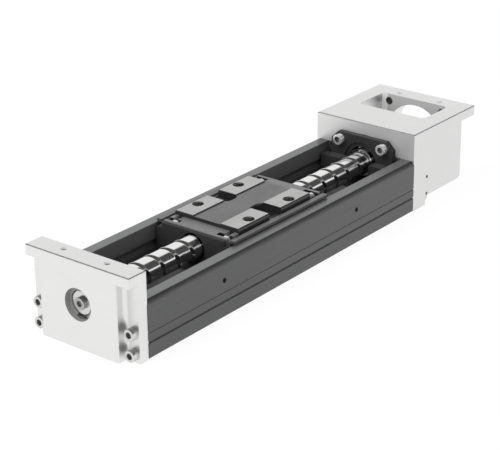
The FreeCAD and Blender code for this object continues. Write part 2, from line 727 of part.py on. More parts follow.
def build_drive_bearings():
    """The pair of drive bearings, the ring that keeps them in, and the pieces clamped on the screw."""
    axis = size("axis_height")
    pitch = "drive_pitch"
    outer = bearing_ring("drive_outer_ring", "0", "drive_width", "drive_outside / 2 - drive_ring_wall",
                         "drive_outside / 2", pitch, "drive_ball")
    inner = bearing_ring("drive_inner_ring", "0", "drive_width", "drive_inside / 2",
                         "drive_inside / 2 + drive_ring_wall", pitch, "drive_ball")
    first = size("drive_front")
    starts = (first, first + size("drive_width"))
    place_copies("drive_bearing_outer_rings", outer, [(start, 0, axis) for start in starts])
    place_copies("drive_bearing_inner_rings", inner, [(start, 0, axis) for start in starts])
    circle = size("drive_pitch") / 2
    count = int(size("drive_ball_count"))
    angles = [2 * math.pi * i / count for i in range(count)]
    place_balls("drive_bearing_balls", size("drive_ball"),
                [(start + size("drive_width") / 2, circle * math.cos(a), axis + circle * math.sin(a))
                 for start in starts for a in angles])

    retainer = new_body("bearing_retainer", z="axis_height")
    turn(retainer, "turned", rectangle("drive_back", "drive_back + retainer_thickness", "retainer_bore / 2",
                                       "drive_outside / 2"))
    collar = new_body("thread_collar", z="axis_height")
    turn(collar, "turned", rectangle("collar_front", "drive_front", "drive_inside / 2", "collar_outside / 2"))
    spacer = new_body("lock_nut_spacer", z="axis_height")
    turn(spacer, "turned", rectangle("drive_back", "drive_back + spacer_length", "drive_inside / 2",
                                     "spacer_outside / 2"))
    nut = new_body("bearing_lock_nut", x="drive_back + spacer_length", z="axis_height")
    turn(nut, "turned", rectangle("0", "lock_nut_length", "drive_inside / 2", "lock_nut / 2"))
    slots = new_sketch(nut, "slots_view", "YZ_Plane")
    add_outline(slots, rectangle("lock_nut / 2 - lock_nut_slot_depth", "lock_nut", "-lock_nut_slot / 2",
                                 "lock_nut_slot / 2"))
    slot = pocket(nut, "slot", slots, "lock_nut_length", along_normal=True)
    ring = nut.newObject("PartDesign::PolarPattern", "slots")
    ring.Originals = [slot]
    ring.Axis = (slots, ["N_Axis"])
    ring.Occurrences = 4
    nut.Tip = ring
    doc.recompute()
    nodes.extend([retainer, collar, spacer, nut])


def build_support_bearing():
    """The bearing in the end plate, its shield and circlip, and the screw that clamps its inner ring."""
    outer = bearing_ring("support_bearing_outer_ring", "support_front", "support_width",
                         "support_outside / 2 - support_ring_wall", "support_outside / 2", "support_pitch",
                         "support_ball")
    inner = bearing_ring("support_bearing_inner_ring", "support_front", "support_width", "support_inside / 2",
                         "support_inside / 2 + support_ring_wall", "support_pitch", "support_ball")
    for ring in (outer, inner):
        ring.setExpression("Placement.Base.z", formula("axis_height"))
    circle = size("support_pitch") / 2
    count = int(size("support_ball_count"))
    middle = size("support_back") - size("support_width") / 2
    axis = size("axis_height")
    place_balls("support_bearing_balls", size("support_ball"),
                [(middle, circle * math.cos(2 * math.pi * i / count),
                  axis + circle * math.sin(2 * math.pi * i / count)) for i in range(count)])

    shield = new_body("support_bearing_shield", x="support_front", z="axis_height")
    turn(shield, "turned", rectangle("support_shield_inset", "support_shield_inset + support_shield",
                                     "support_inside / 2 + support_ring_wall + 2 * screw_gap",
                                     "support_outside / 2 - support_ring_wall - housing_fit"))
    circlip = new_body("support_circlip", x="support_front", z="axis_height")
    reach = "support_outside / 2 + circlip_reach - 2 * housing_fit"
    turn(circlip, "turned", rectangle("-circlip_thickness", "0",
                                      reach + " - circlip_width - circlip_reach", reach))
    opening = new_sketch(circlip, "opening_view", "YZ_Plane", "-circlip_thickness")
    wide = "support_outside * tan(circlip_opening / 2 * 1 deg)"
    add_outline(opening, [("0", "0"), ("-(" + wide + ")", "-support_outside"), (wide, "-support_outside")])
    pocket(circlip, "opening", opening, "circlip_thickness", along_normal=True)

    washer = new_body("end_washer", x="support_front", z="axis_height")
    turn(washer, "turned", rectangle("-end_washer_thickness", "0", "end_screw_shank / 2 + screw_gap",
                                     "end_washer / 2"))
    clamp = cap_screw("screw_end_bolt", "end_screw_shank", "end_screw_length", "end_screw_head",
                      "end_screw_head_height", "end_screw_socket", "end_screw_socket_depth")
    clamp.setExpression("Placement.Base.x", formula("support_front - end_washer_thickness"))
    clamp.setExpression("Placement.Base.z", formula("axis_height"))
    nodes.extend([outer, inner, shield, circlip, washer, clamp])


def build_ball_screw():
    """The ball screw: turned journals and a helical ball track with a round-bottomed section."""
    body = new_body("ball_screw", z="axis_height")
    tip = "drive_back + spacer_length + lock_nut_length"
    turn(body, "turned", [
        ("support_front", "0"), ("support_front", "support_inside / 2"),
        ("support_back", "support_inside / 2"), ("support_back", "thread_root / 2"),
        ("thread_start", "thread_root / 2"), ("thread_start", "thread_crest / 2"),
        ("thread_end", "thread_crest / 2"), ("thread_end", "thread_root / 2"),
        ("collar_front", "thread_root / 2"), ("collar_front", "drive_inside / 2"),
        (tip, "drive_inside / 2"), (tip, "drive_end / 2"),
        (tip + " + drive_end_length", "drive_end / 2"), (tip + " + drive_end_length", "0")])
    bolt_hole = new_sketch(body, "bolt_hole_view", "YZ_Plane", "support_front")
    add_circle(bolt_hole, "0", "0", "end_screw_shank + screw_gap")
    pocket(body, "bolt_hole", bolt_hole, "end_screw_length", along_normal=True)

    # The track starts before the thread and runs out past its end, so that both ends are open
    track = new_sketch(body, "track_section", "XZ_Plane")
    half = "(thread_ball / 2 + track_gap)"
    flat = half + " * tan(22.5 deg)"
    centre = "ball_circle / 2"
    right = [(flat, centre + " - " + half), (half, centre + " - " + flat), (half, centre + " + " + half)]
    left = [("-" + across, up) for across, up in reversed(right)]
    add_outline(track, [("track_begin + " + across, up) for across, up in right + left])
    doc.recompute()
    before = body.Shape.Volume
    helix = body.newObject("PartDesign::SubtractiveHelix", "ball_track")
    helix.Profile = track
    helix.ReferenceAxis = (track, ["H_Axis"])
    helix.Mode = "pitch-height-angle"
    helix.setExpression("Pitch", formula("thread_lead"))
    helix.setExpression("Height", formula("thread_end - thread_start + thread_lead"))
    check_removed(body, helix, before)
    nodes.append(body)


def build_bumpers():
    """The two U-shaped rubber bumpers that stop the carriage at the ends of the channel."""
    half = [("bumper_half", "rail_floor"), ("bumper_half", "bumper_top"), ("bumper_notch / 2", "bumper_top"),
            ("bumper_notch / 2", "bumper_notch_floor + bumper_notch_corner"),
            ("bumper_notch / 2 - bumper_notch_corner", "bumper_notch_floor")]
    for label, start in (("near_bumper", "-rail_end"),
                         ("drive_end_bumper", "rail_end - housing_plate - bumper_thickness")):
        body = new_body(label, x=start)
        sketch = new_sketch(body, "section", "YZ_Plane")
        add_outline(sketch, mirrored(half))
        pad(body, "moulding", sketch, "bumper_thickness")
        nodes.append(body)


def build_carriage_block():
    """The carriage block with its ground pads, slots, nut bore and ball grooves."""
    body = new_body("carriage_block", x="carriage_rest")
    sketch = new_sketch(body, "section", "YZ_Plane")
    add_outline(sketch, mirrored([("block_half", "block_bottom"), ("block_half", "block_shoulder"),
                                  ("block_top_half", "block_shoulder"), ("block_top_half", "block_top")]))
    pad(body, "block", sketch, "block_length", symmetric=True)
    bores = new_sketch(body, "bores_view", "YZ_Plane", "-block_length / 2")
    add_circle(bores, "0", "axis_height", "nut_bore")
    for side in ("", "-"):
        add_circle(bores, side + "guide_ball_place", "guide_height", "guide_groove")
        add_circle(bores, side + "return_place", "guide_height", "return_bore")
    pocket(body, "bores", bores, "block_length", along_normal=True)
    recess = new_sketch(body, "centre_recess_plan", "XY_Plane", "block_top")
    add_outline(recess, rectangle("-block_length / 2", "block_length / 2", "-centre_recess / 2",
                                  "centre_recess / 2"))
    pocket(body, "centre_recess_cut", recess, "centre_recess_depth")
    for name, low, high in (("slot_left", "slot_inner / 2", "block_top_half"),
                            ("slot_right", "-block_top_half", "-slot_inner / 2")):
        slot = new_sketch(body, name + "_plan", "XY_Plane", "block_top")
        add_outline(slot, rectangle("-slot_width / 2", "slot_width / 2", low, high))
        pocket(body, name, slot, "slot_depth")
    round_upright_edges(body, "slot_rounds", "slot_round",
                        [(along * size("slot_width") / 2, side * size("slot_inner") / 2)
                         for along in (1, -1) for side in (1, -1)])
    dress_edges(body, "pad_edges", "Chamfer", "block_edge",
                lambda box: near(box.ZMin, size("block_top")) and near(box.ZMax, size("block_top"))
                and near(abs(box.YMin), size("block_top_half")) and near(box.YMax, box.YMin))
    holes = new_sketch(body, "pad_holes_plan", "XY_Plane", "block_top")
    for along in ("", "-"):
        for across in ("", "-"):
            add_circle(holes, along + "pad_pitch / 2", across + "pad_hole_place", "pad_hole")
    pocket(body, "pad_holes", holes, "pad_hole_depth")
    dress_edges(body, "pad_hole_edges", "Chamfer", "pad_hole_edge",
                lambda box: near(box.ZMin, size("block_top")) and near(box.ZMax, size("block_top"))
                and near(box.XLength, size("pad_hole")) and near(box.YLength, size("pad_hole")))
    for name, offset, along in (("cap_holes_near", "-block_length / 2", True),
                                ("cap_holes_drive", "block_length / 2", False)):
        cap_holes = new_sketch(body, name + "_view", "YZ_Plane", offset)
        for side in ("", "-"):
            add_circle(cap_holes, side + "cap_screw_place", "cap_screw_height",
                       "cap_screw_shank + screw_gap")
        pocket(body, name, cap_holes, "cap_screw_in_block + 1", along_normal=along)
    nodes.append(body)


def add_shank_notches(body, offset):
    """Cuts the two slots, open at the top and round below, that take the cap screws' shanks from above."""
    width = "(cap_screw_shank + 2 * screw_gap)"
    for side, name in (("", "shank_notch_left"), ("-", "shank_notch_right")):
        place = side + "cap_screw_place"
        round_end = new_sketch(body, name + "_round_view", "YZ_Plane", offset)
        add_circle(round_end, place, "cap_screw_height", width)
        pocket(body, name + "_round", round_end, "cap_web", along_normal=True)
        upper = new_sketch(body, name + "_view", "YZ_Plane", offset)
        add_outline(upper, rectangle("%s - %s / 2" % (place, width), "%s + %s / 2" % (place, width),
                                     "cap_screw_height", "block_top"))
        pocket(body, name, upper, "cap_web", along_normal=True)


def build_end_caps():
    """The caps that turn the balls round at both ends of the block, with their screws."""
    section = mirrored([("cap_half", "cap_bottom"), ("cap_half", "block_shoulder"),
                        ("cap_top_half", "block_shoulder"), ("cap_top_half", "cap_top")])
    slot_floor = "cap_screw_height - cap_screw_head / 2 - 2 * screw_gap"
    slot_inner = "cap_screw_place - cap_slot_reach"
    # The near cap has its outer wall, slot and web in this order along the screw, the other cap reversed
    for label, start, wall_at, slot_at, web_at in (
            ("near_end_cap", "carriage_rest - block_length / 2 - cap_thickness",
             "0", "cap_front_wall", "cap_front_wall + cap_slot_width"),
            ("drive_end_cap", "carriage_rest + block_length / 2",
             "cap_web + cap_slot_width", "cap_web", "0")):
        body = new_body(label, x=start)
        sketch = new_sketch(body, "section", "YZ_Plane")
        add_outline(sketch, section)
        pad(body, "moulding", sketch, "cap_thickness")
        bore = new_sketch(body, "screw_bore_view", "YZ_Plane")
        add_circle(bore, "0", "axis_height", "cap_bore")
        pocket(body, "screw_bore", bore, "cap_thickness", along_normal=True)
        add_shank_notches(body, web_at)
        slots = new_sketch(body, "head_slots_view", "YZ_Plane", slot_at)
        add_outline(slots, rectangle(slot_inner, "cap_top_half", slot_floor, "block_top"))
        add_outline(slots, rectangle("-cap_top_half", "-(%s)" % slot_inner, slot_floor, "block_top"))
        pocket(body, "head_slots", slots, "cap_slot_width", along_normal=True)
        key_holes = new_sketch(body, "key_holes_view", "YZ_Plane", wall_at)
        for side in ("", "-"):
            add_circle(key_holes, side + "cap_screw_place", "cap_screw_height",
                       "cap_screw_shank + 2 * screw_gap")
        pocket(body, "key_holes", key_holes, "cap_front_wall", along_normal=True)
        nodes.append(body)

    screw = cap_screw("end_cap_screw", "cap_screw_shank", "cap_web + cap_screw_in_block", "cap_screw_head",
                      "cap_screw_head_height", "cap_screw_socket", "cap_screw_socket_depth")
    reach = size("block_length") / 2 + size("cap_web")
    rest = size("carriage_rest")
    places = [(side * size("cap_screw_place"), size("cap_screw_height")) for side in (1, -1)]
    place_copies("near_cap_screws", screw, [(rest - reach, y, z) for y, z in places])
    place_copies("drive_cap_screws", screw, [(rest + reach, y, z) for y, z in places], turned_round=True)


def build_end_seals():
    """The thin wiper plates outside the end caps."""
    section = mirrored([("seal_half", "seal_bottom"), ("seal_half", "block_shoulder"),
                        ("seal_top_half", "block_shoulder"), ("seal_top_half", "seal_top")])
    reach = "block_length / 2 + cap_thickness"
    for label, start in (("near_end_seal", "carriage_rest - " + reach.replace("+", "-") + " - seal_thickness"),
                         ("drive_end_seal", "carriage_rest + " + reach)):
        body = new_body(label, x=start)
        sketch = new_sketch(body, "section", "YZ_Plane")
        add_outline(sketch, section)
        pad(body, "plate", sketch, "seal_thickness")
        bore = new_sketch(body, "screw_bore_view", "YZ_Plane")
        add_circle(bore, "0", "axis_height", "cap_bore")
        pocket(body, "screw_bore", bore, "seal_thickness", along_normal=True)
        nodes.append(body)


def build_side_seals():
    """The steel strips along both sides of the block, each with a rubber lip over the rail's edge."""
    inner = "block_top_half"
    outer = "carrier_outer"
    for side in ("left", "right"):
        sign = "" if side == "left" else "-"
        for label, first, last, low, high in (
                ("seal_carrier", inner, outer, "block_shoulder", "carrier_top"),
                ("seal_lip", outer, outer + " + side_lip_reach", "side_lip_base", "side_lip_top")):
            body = new_body("%s_%s" % (side, label), x="carriage_rest")
            sketch = new_sketch(body, "section", "YZ_Plane")
            add_outline(sketch, rectangle("%s(%s)" % (sign, first), "%s(%s)" % (sign, last), low, high))
            pad(body, "strip", sketch, "side_seal_length", symmetric=True)
            nodes.append(body)


def build_carriage_balls():
    """The loaded balls: a row in each guide groove and a helix of balls in the screw's track."""
    rest = size("carriage_rest")
    ball = size("guide_ball")
    count = int(size("block_length") / (ball + size("ball_gap")))
    row = [rest + (i - (count - 1) / 2) * size("block_length") / count for i in range(count)]
    place = size("guide_ball_place")
    for label, side in (("left_guide_balls", 1), ("right_guide_balls", -1)):
        place_balls(label, ball, [(x, side * place, size("guide_height")) for x in row])

    circle = size("ball_circle") / 2
    lead = size("thread_lead")
    track_begin = size("track_begin")
    turns = size("thread_turns_loaded")
    step = (size("thread_ball") + size("ball_gap")) / math.hypot(2 * math.pi * circle, lead)
    centres = []
    for i in range(int(turns / step)):
        x = rest + lead * (i * step - turns / 2)
        angle = math.pi / 2 + 2 * math.pi * (x - track_begin) / lead
        centres.append((x, circle * math.cos(angle), size("axis_height") + circle * math.sin(angle)))
    place_balls("screw_balls", size("thread_ball"), centres)


def write_parts():
    """Checks every object, then writes each piece to its own file."""
    doc.recompute()
    for item in doc.Objects:
        if "Invalid" in item.State or "Error" in item.State:
            raise ValueError("%s failed: %s" % (item.Label, item.State))
    for node in nodes:
        if node.Shape.isNull() or not node.Shape.isValid():
            raise ValueError("%s has no valid shape" % node.Label)
    os.makedirs("parts", exist_ok=True)
    for node in nodes:
        node.Shape.exportStep("parts/%s.step" % node.Label)


build_guide_rail()
build_end_plate()
build_motor_flange()
build_bearing_housing()
build_fixing_screws()
build_drive_bearings()
build_support_bearing()
build_ball_screw()
build_bumpers()
build_carriage_block()
build_end_caps()
build_end_seals()
build_side_seals()
build_carriage_balls()
write_parts()
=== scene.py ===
import math

import bmesh
import bpy
from mathutils import Matrix, Vector


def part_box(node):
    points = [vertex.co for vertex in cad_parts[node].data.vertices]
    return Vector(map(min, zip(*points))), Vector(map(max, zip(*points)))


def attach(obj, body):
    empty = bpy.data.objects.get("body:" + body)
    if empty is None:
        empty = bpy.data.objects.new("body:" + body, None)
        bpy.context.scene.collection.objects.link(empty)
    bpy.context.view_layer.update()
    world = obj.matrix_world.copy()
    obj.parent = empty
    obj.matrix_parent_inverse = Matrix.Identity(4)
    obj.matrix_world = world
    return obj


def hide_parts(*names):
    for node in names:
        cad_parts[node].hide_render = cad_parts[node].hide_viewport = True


bl_info = {
    "name": "Electric linear slide",
    "version": (1, 0, 0),
    "blender": (4, 5, 0),
    "location": "View3D > Sidebar > Slide",
    "description": "Dresses the packed linear slide with finishes, a ball screw, fasteners and a studio",
    "category": "Object",
}

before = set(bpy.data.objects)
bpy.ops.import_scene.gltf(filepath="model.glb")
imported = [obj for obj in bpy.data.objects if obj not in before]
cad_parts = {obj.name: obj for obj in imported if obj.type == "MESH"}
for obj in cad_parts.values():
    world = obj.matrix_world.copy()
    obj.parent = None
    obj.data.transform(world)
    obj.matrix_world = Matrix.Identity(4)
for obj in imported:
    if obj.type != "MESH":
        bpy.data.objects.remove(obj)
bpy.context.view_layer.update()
MM = 0.001
TINY = 0.001 * MM
HALF_TURN = math.pi
FULL_TURN = 2.0 * math.pi
QUARTER_TURN = 0.5 * math.pi

# Places and sizes of the CAD model's features that get a zone or threads of their own, in millimetres; most
# of these zones paint light or shade.
# A pair of depths under a top says where a zone starts and where it is full. A side groove has its lower
# and upper edges and its depth
AXIS_HEIGHT = 20.8
CARRIAGE_MIDDLE = 1.0
PAD_HOLES_HALF = 15.0
PAD_HOLE_MOUTH = 30.5
CAP_SLOT_ALONG = (30.7, 33.6)
CAP_SLOT_ACROSS = (10.9, 18.5)
END_LIP_HOLES = -104.4
FLANGE_LIP_HOLES = 150.5
LIP_HOLES_HALF = 12.5
LIP_HOLE_RADIUS = 1.5
LIP_THREAD_MOUTH = 39.0
LIP_PAINTED_LIGHT_DEPTHS = (1.25, 0.85)
MOTOR_HOLES_HALF = 16.263
MOTOR_HOLE_MOUTH = 156.7
SIDE_HOLES_HALF = 50.0
SIDE_HOLE_HEIGHT = 18.0
SIDE_HOLE_MOUTH = 29.8
CHANNEL_HALF = 22.5
RAIL_FLOOR = 8.0
RAIL_TOP_EDGE = 2.0
RAIL_TOP_DEPTHS = (0.08, 0.02)
BALL_GROOVE_REACH = 2.0
SIDE_GROOVES = ((7.3, 8.5, 0.8), (12.1, 12.8, 0.3))
WINDOW_ALONG = (123.5, 146.0)
WINDOW_HALF = 19.7
WINDOW_ROUND = 2.5
PAD_DEPTHS = (0.12, 0.04)
RECESS_DEPTHS = (0.66, 0.58)
# Depths of the band of painted light along the carriage's sides, and where the painted light across its
# upward-facing ledges starts and is full
LIT_EDGE_DEPTHS = (1.6, 1.2)
LEDGE_ACROSS = (15.0, 18.0)
END_BORE_REACH = 0.2
TRACK_RIM = 0.1

# How far the limits of a zone lie from the faces that bound it, in millimetres
SEAM = 0.05


def length(name, text, default):
    """A length in metres that a user may change, with its default in millimetres."""
    return bpy.props.FloatProperty(name=name, description=text, default=default * MM, unit="LENGTH",
                                   precision=5)


def colour(name, text, default):
    """A finish's colour that a user may change."""
    return bpy.props.FloatVectorProperty(name=name, description=text, default=default, size=3, min=0.0,
                                         max=1.0, subtype="COLOR")


def number(name, text, default):
    """A plain number that a user may change."""
    return bpy.props.FloatProperty(name=name, description=text, default=default)


def angle(name, text, default):
    """An angle that a user may change, with its default in degrees."""
    return bpy.props.FloatProperty(name=name, description=text, default=math.radians(default),
                                   subtype="ANGLE")


class SlideStage(bpy.types.PropertyGroup):
    """Camera and light."""
    azimuth: angle("Azimuth", "Direction that the camera looks from", -51.4247)
    elevation: angle("Elevation", "Height of the camera as an angle", 23.1559)
    roll: angle("Roll", "Turn of the camera about its view", -0.6463)
    distance: length("Distance", "Distance of the camera from its target", 945.4471)
    target: bpy.props.FloatVectorProperty(name="Target", description="Point that the camera looks at",
                                          default=(0.1258595, 0.0958091, -0.0483379), size=3,
                                          subtype="TRANSLATION")
    lens: number("Lens", "Focal length on a sensor 36 mm wide", 119.268)
    fill: number("Fill", "Level of the surrounding light", 0.62)
    wall: number("Wall", "Level of the bright surroundings in reflections", 0.93)
    ceiling: number("Ceiling", "Level of the dark ceiling in reflections", 0.07)
    front_ceiling: number("Front ceiling", "Level of the ceiling over the camera in reflections", 0.2)
    key: number("Key", "Power of the large lamp over the free end", 9.0)
    side: number("Side", "Power of the lamp on the near side", 3.0)


class SlideScrew(bpy.types.PropertyGroup):
    """Sizes of the ball screw."""
    crest: length("Crest radius", "Radius over the lands of the thread", 6.0)
    root: length("Root radius", "Radius of the necks beside the thread", 4.8)
    groove: length("Groove radius", "Radius of the ball track's section", 1.1)
    ball_circle: length("Ball circle radius", "Radius on which the balls run", 6.4)
    lead: length("Lead", "Travel for one turn", 10.0)
    start: length("Thread start", "Where the thread starts", -97.0)
    finish: length("Thread end", "Where the thread ends", 96.0)
    track_begin: length("Track place", "Where the track crosses the top of the screw", -104.5)
    lip: length("Lip", "Width of the broken edge along the track", 0.06)
    journal: length("Journal radius", "Radius of both journals", 4.0)
    drive: length("Drive end radius", "Radius of the plain drive end", 3.0)
    drive_start: length("Drive end start", "Where the drive end starts", 126.0)
    bolt_hole: length("Bolt hole radius", "Radius of the hole for the end bolt", 2.05)
    bolt_depth: length("Bolt hole depth", "Depth of the hole for the end bolt", 8.0)
    edge: length("Edge", "Width of the broken edges of the journals and the drive end", 0.4)
    axis: length("Axis height", "Height of the screw's axis", AXIS_HEIGHT)


class SlideFasteners(bpy.types.PropertyGroup):
    """Sizes of the socket screws and tapped holes."""
    ridge: number("Ridge", "Depth of a thread ridge as a share of its pitch", 0.45)
    knurl: number("Knurl", "Depth of the knurl as a share of the head", 0.02)


class SlideFinishes(bpy.types.PropertyGroup):
    """Colours of the finishes, and shares that make zones of a finish lighter or darker as painted light and
    shade.
    """
    rail: colour("Rail", "Blackened steel of the rail", (0.110, 0.111, 0.113))
    housing: colour("Housing", "Black steel of the bearing housing", (0.042, 0.042, 0.043))
    aluminium: colour("Aluminium", "Bead-blasted aluminium of both ends", (0.83, 0.83, 0.825))
    # Painted light: the lip bores' mouths and the window's walls take this near-white colour in place of the
    # light falling into them
    painted_hollow_light: colour("Painted hollow light", "Bright bores and window in the aluminium", (0.98, 0.98, 0.98))
    pads: colour("Pads", "Ground steel of the pads", (0.55, 0.55, 0.545))
    carriage: colour("Carriage", "Grey recess of the carriage", (0.17, 0.17, 0.172))
    steps: colour("Steps", "Black sides, steps and slots of the carriage", (0.06, 0.06, 0.062))
    # Painted light: the top band of the carriage's sides and the outer part of its upward-facing ledges take
    # this colour
    ledge: colour("Ledge", "Lit edges and ledges along the carriage", (0.2, 0.2, 0.2))
    caps: colour("Caps", "Grey plastic of the end caps", (0.19, 0.19, 0.19))
    rubber: colour("Rubber", "Rubber of seals and bumpers", (0.042, 0.042, 0.042))
    polished: colour("Polished steel", "Polished steel of the screw", (0.86, 0.86, 0.855))
    plated: colour("Plated steel", "Plated steel of the fasteners", (0.66, 0.66, 0.65))
    bearing: colour("Bearing steel", "Ground steel of the bearing rings", (0.42, 0.42, 0.415))
    bright: colour("Bright steel", "Bright plated steel of the cap and housing screws", (0.95, 0.95, 0.94))
    spring: colour("Spring steel", "Circlip in the end plate's bore", (0.42, 0.42, 0.42))
    # Painted shade: the insides of the hexagon sockets and the motor holes' threads take this darker colour
    socket: colour("Sockets", "Dark inside of the hexagon sockets", (0.3, 0.3, 0.3))
    strip: colour("Strip", "Steel strips beside the carriage", (0.16, 0.16, 0.16))
    # Painted reflection: black pieces take this light colour when seen in reflections, where they hide
    # bright sky
    mirrored: colour("Mirrored", "What black pieces look like in polished steel", (0.95, 0.95, 0.95))
    # Partly the ground top's own finish, partly painted light from above
    painted_top_light_share: number("Top share", "How light the rail's ground top is beside its sides", 1.77)
    # Painted light on the channel's shadowed walls
    painted_wall_light_share: number("Wall share", "How light the channel's walls are beside the rail", 1.3)
    # Painted light on the channel's shadowed floor and ball grooves
    painted_deep_light_share: number("Deep share", "How light the channel's floor and ball grooves are beside the rail",
                       0.75)
    # Painted light on the foot of the rail's rounded top edges
    painted_edge_light_share: number("Edge share", "How light the rail's broken top edges are beside its sides", 1.3)
    # Painted light in the grooves along the rail's sides
    painted_groove_light_share: number("Groove share", "How light the grooves along the rail's sides are beside them", 1.2)
    # Painted shade on the flange's sides, darker than its top
    painted_flange_shade_share: number("Flange share", "How light the motor flange's sides are beside its top", 0.9)
    # Painted shade on the wall of the end plate's bore
    painted_bore_shade_share: number("Bore share", "How light the end plate's bore is beside its faces", 0.57)
    # Painted shade on the window's end wall and its near corner
    painted_window_shade_share: number("Window share", "How light the window's end wall is beside the flange", 0.78)
    # Painted shade in the ball screw's track
    painted_track_shade_share: number("Track share", "How light the ball screw's track is beside its lands", 0.4)
    # Painted shade in the slots of the end caps
    painted_slot_shade_share: number("Slot share", "How light the slots of the caps are beside their faces", 0.08)


class SlideSettings(bpy.types.PropertyGroup):
    """All settings of the slide."""
    stage: bpy.props.PointerProperty(type=SlideStage)
    screw: bpy.props.PointerProperty(type=SlideScrew)
    fasteners: bpy.props.PointerProperty(type=SlideFasteners)
    finishes: bpy.props.PointerProperty(type=SlideFinishes)


def settings():
    """The scene's own settings of the slide."""
    return bpy.context.scene.linear_slide


def both_ways(half):
    """A distance to both sides."""
    return -half, half


def shaded(tone, share=1.0):
    """A colour made lighter or darker by a share, with full alpha."""
    return tuple(min(1.0, channel * share) for channel in tone) + (1.0,)


def grey(level):
    """A plain grey with full alpha."""
    return (level, level, level, 1.0)


def link_object(name, data):
    """A new object in the scene."""
    item = bpy.data.objects.new(name, data)
    bpy.context.scene.collection.objects.link(item)
    return item


class Nodes:
    """A node tree, with short ways to add nodes and calculations to it."""

    def __init__(self, tree):
        self.tree = tree

    def feed(self, socket, value):
        """Links a socket to another, or sets its value."""
        if isinstance(value, bpy.types.NodeSocket):
            self.tree.links.new(value, socket)
        else:
            socket.default_value = value

    def add(self, kind, inputs=None, **options):
        """A node with its options set and its inputs fed, by their names or numbers."""
        node = self.tree.nodes.new(kind)
        for name, value in options.items():
            setattr(node, name, value)
        for name, value in (inputs or {}).items():
            self.feed(node.inputs[name], value)
        return node

    def calc(self, operation, *values):
        """A math node's result."""
        return self.add("ShaderNodeMath", dict(enumerate(values)), operation=operation).outputs[0]

    def times(self, *values):
        """The product of all values, which is one where every mask among them is one."""
        product = values[0]
        for value in values[1:]:
            product = self.calc("MULTIPLY", product, value)
        return product

    def plus(self, first, second):
        """The sum of two values."""
        return self.calc("ADD", first, second)

    def minus(self, first, second):
        """The first value less the second."""
        return self.calc("SUBTRACT", first, second)

    def most(self, first, second):
        """The larger of two values."""
        return self.calc("MAXIMUM", first, second)

    def above(self, value, limit):
        """One where a value is above a limit."""
        return self.calc("GREATER_THAN", value, limit)

    def below(self, value, limit):
        """One where a value is below a limit."""
        return self.calc("LESS_THAN", value, limit)

    def mixed(self, first, second, share):
        """Two values added up, the first with a share and the second with the rest."""
        return self.plus(self.times(first, share), self.times(second, 1.0 - share))

    def remap(self, value, low, high, bottom=0.0, top=1.0, **options):
        """A value moved from one range to another."""
        node = self.add("ShaderNodeMapRange", {
            "Value": value, "From Min": bottom, "From Max": top, "To Min": low, "To Max": high}, **options)
        return node.outputs[0]

    def soft_step(self, value, low, high):
        """Zero below a first value, one above a second, with a soft slope between."""
        return self.remap(value, 0.0, 1.0, low, high, interpolation_type="SMOOTHSTEP")

    def blend(self, factor, first, second):
        """Two colours mixed by a mask."""
        node = self.add("ShaderNodeMix", {"Factor": factor, "A": first, "B": second}, data_type="RGBA")
        return node.outputs["Result"]

    def choose(self, factor, first, second):
        """Two shaders mixed by a mask."""
        return self.add("ShaderNodeMixShader", {0: factor, 1: first, 2: second}).outputs[0]

    def split(self, vector):
        """The three parts of a vector."""
        return self.add("ShaderNodeSeparateXYZ", {"Vector": vector}).outputs

    def places(self):
        """The three object coordinates of a point."""
        return self.split(self.add("ShaderNodeTexCoord").outputs["Object"])

    def rays(self):
        """Masks for the kinds of rays that see a surface."""
        return self.add("ShaderNodeLightPath").outputs

    def folded(self, value, middle=0.0):
        """The distance of a coordinate from a middle given in millimetres."""
        return self.calc("ABSOLUTE", self.minus(value, middle * MM))

    def within(self, value, low, high):
        """One where a value lies between two places given in millimetres."""
        return self.times(self.above(value, low * MM), self.below(value, high * MM))

    def near(self, value, place):
        """One within a seam's width of a place given in millimetres."""
        return self.within(value, place - SEAM, place + SEAM)

    def risen(self, height, top, depths):
        """Zero below a first depth under a top, one above a second, both given in millimetres."""
        return self.remap(height, 0.0, 1.0, *(top - depth * MM for depth in depths))


FLOAT = "NodeSocketFloat"
VECTOR = "NodeSocketVector"
GEOMETRY = "NodeSocketGeometry"
MATERIAL = "NodeSocketMaterial"


def new_group(kind, name, inputs, outputs):
    """A node tree with named inputs and outputs: its nodes, its given values and its results."""
    tree = bpy.data.node_groups.new(name, kind)
    for label, socket_type, default in inputs:
        socket = tree.interface.new_socket(name=label, in_out="INPUT", socket_type=socket_type)
        if default is not None:
            socket.default_value = default
    for label, socket_type in outputs:
        tree.interface.new_socket(name=label, in_out="OUTPUT", socket_type=socket_type)
    nodes = Nodes(tree)
    return nodes, nodes.add("NodeGroupInput").outputs, nodes.add("NodeGroupOutput").inputs


def ground_grain_group(name):
    """Fine lines along one direction, as a grinding wheel or a cutter leaves them."""
    finer, coarse_share = 4.3, 0.6
    nodes, given, result = new_group("ShaderNodeTree", name, [
        ("Vector", VECTOR, None), ("Scale", FLOAT, None), ("Stretch", FLOAT, None)],
        [("Shade", FLOAT), ("Height", FLOAT)])
    squeeze = nodes.add("ShaderNodeCombineXYZ", {"X": given["Stretch"], "Y": 1.0, "Z": 1.0})
    along = nodes.add("ShaderNodeVectorMath", {0: given["Vector"], 1: squeeze.outputs[0]},
                      operation="MULTIPLY").outputs[0]
    coarse = nodes.add("ShaderNodeTexNoise", {
        "Vector": along, "Scale": given["Scale"], "Detail": 3.0, "Roughness": 0.6}).outputs[0]
    fine = nodes.add("ShaderNodeTexNoise", {
        "Vector": along, "Scale": nodes.times(given["Scale"], finer), "Detail": 2.0,
        "Roughness": 0.5}).outputs[0]
    nodes.feed(result["Shade"], nodes.mixed(coarse, fine, coarse_share))
    nodes.feed(result["Height"], fine)
    return nodes.tree


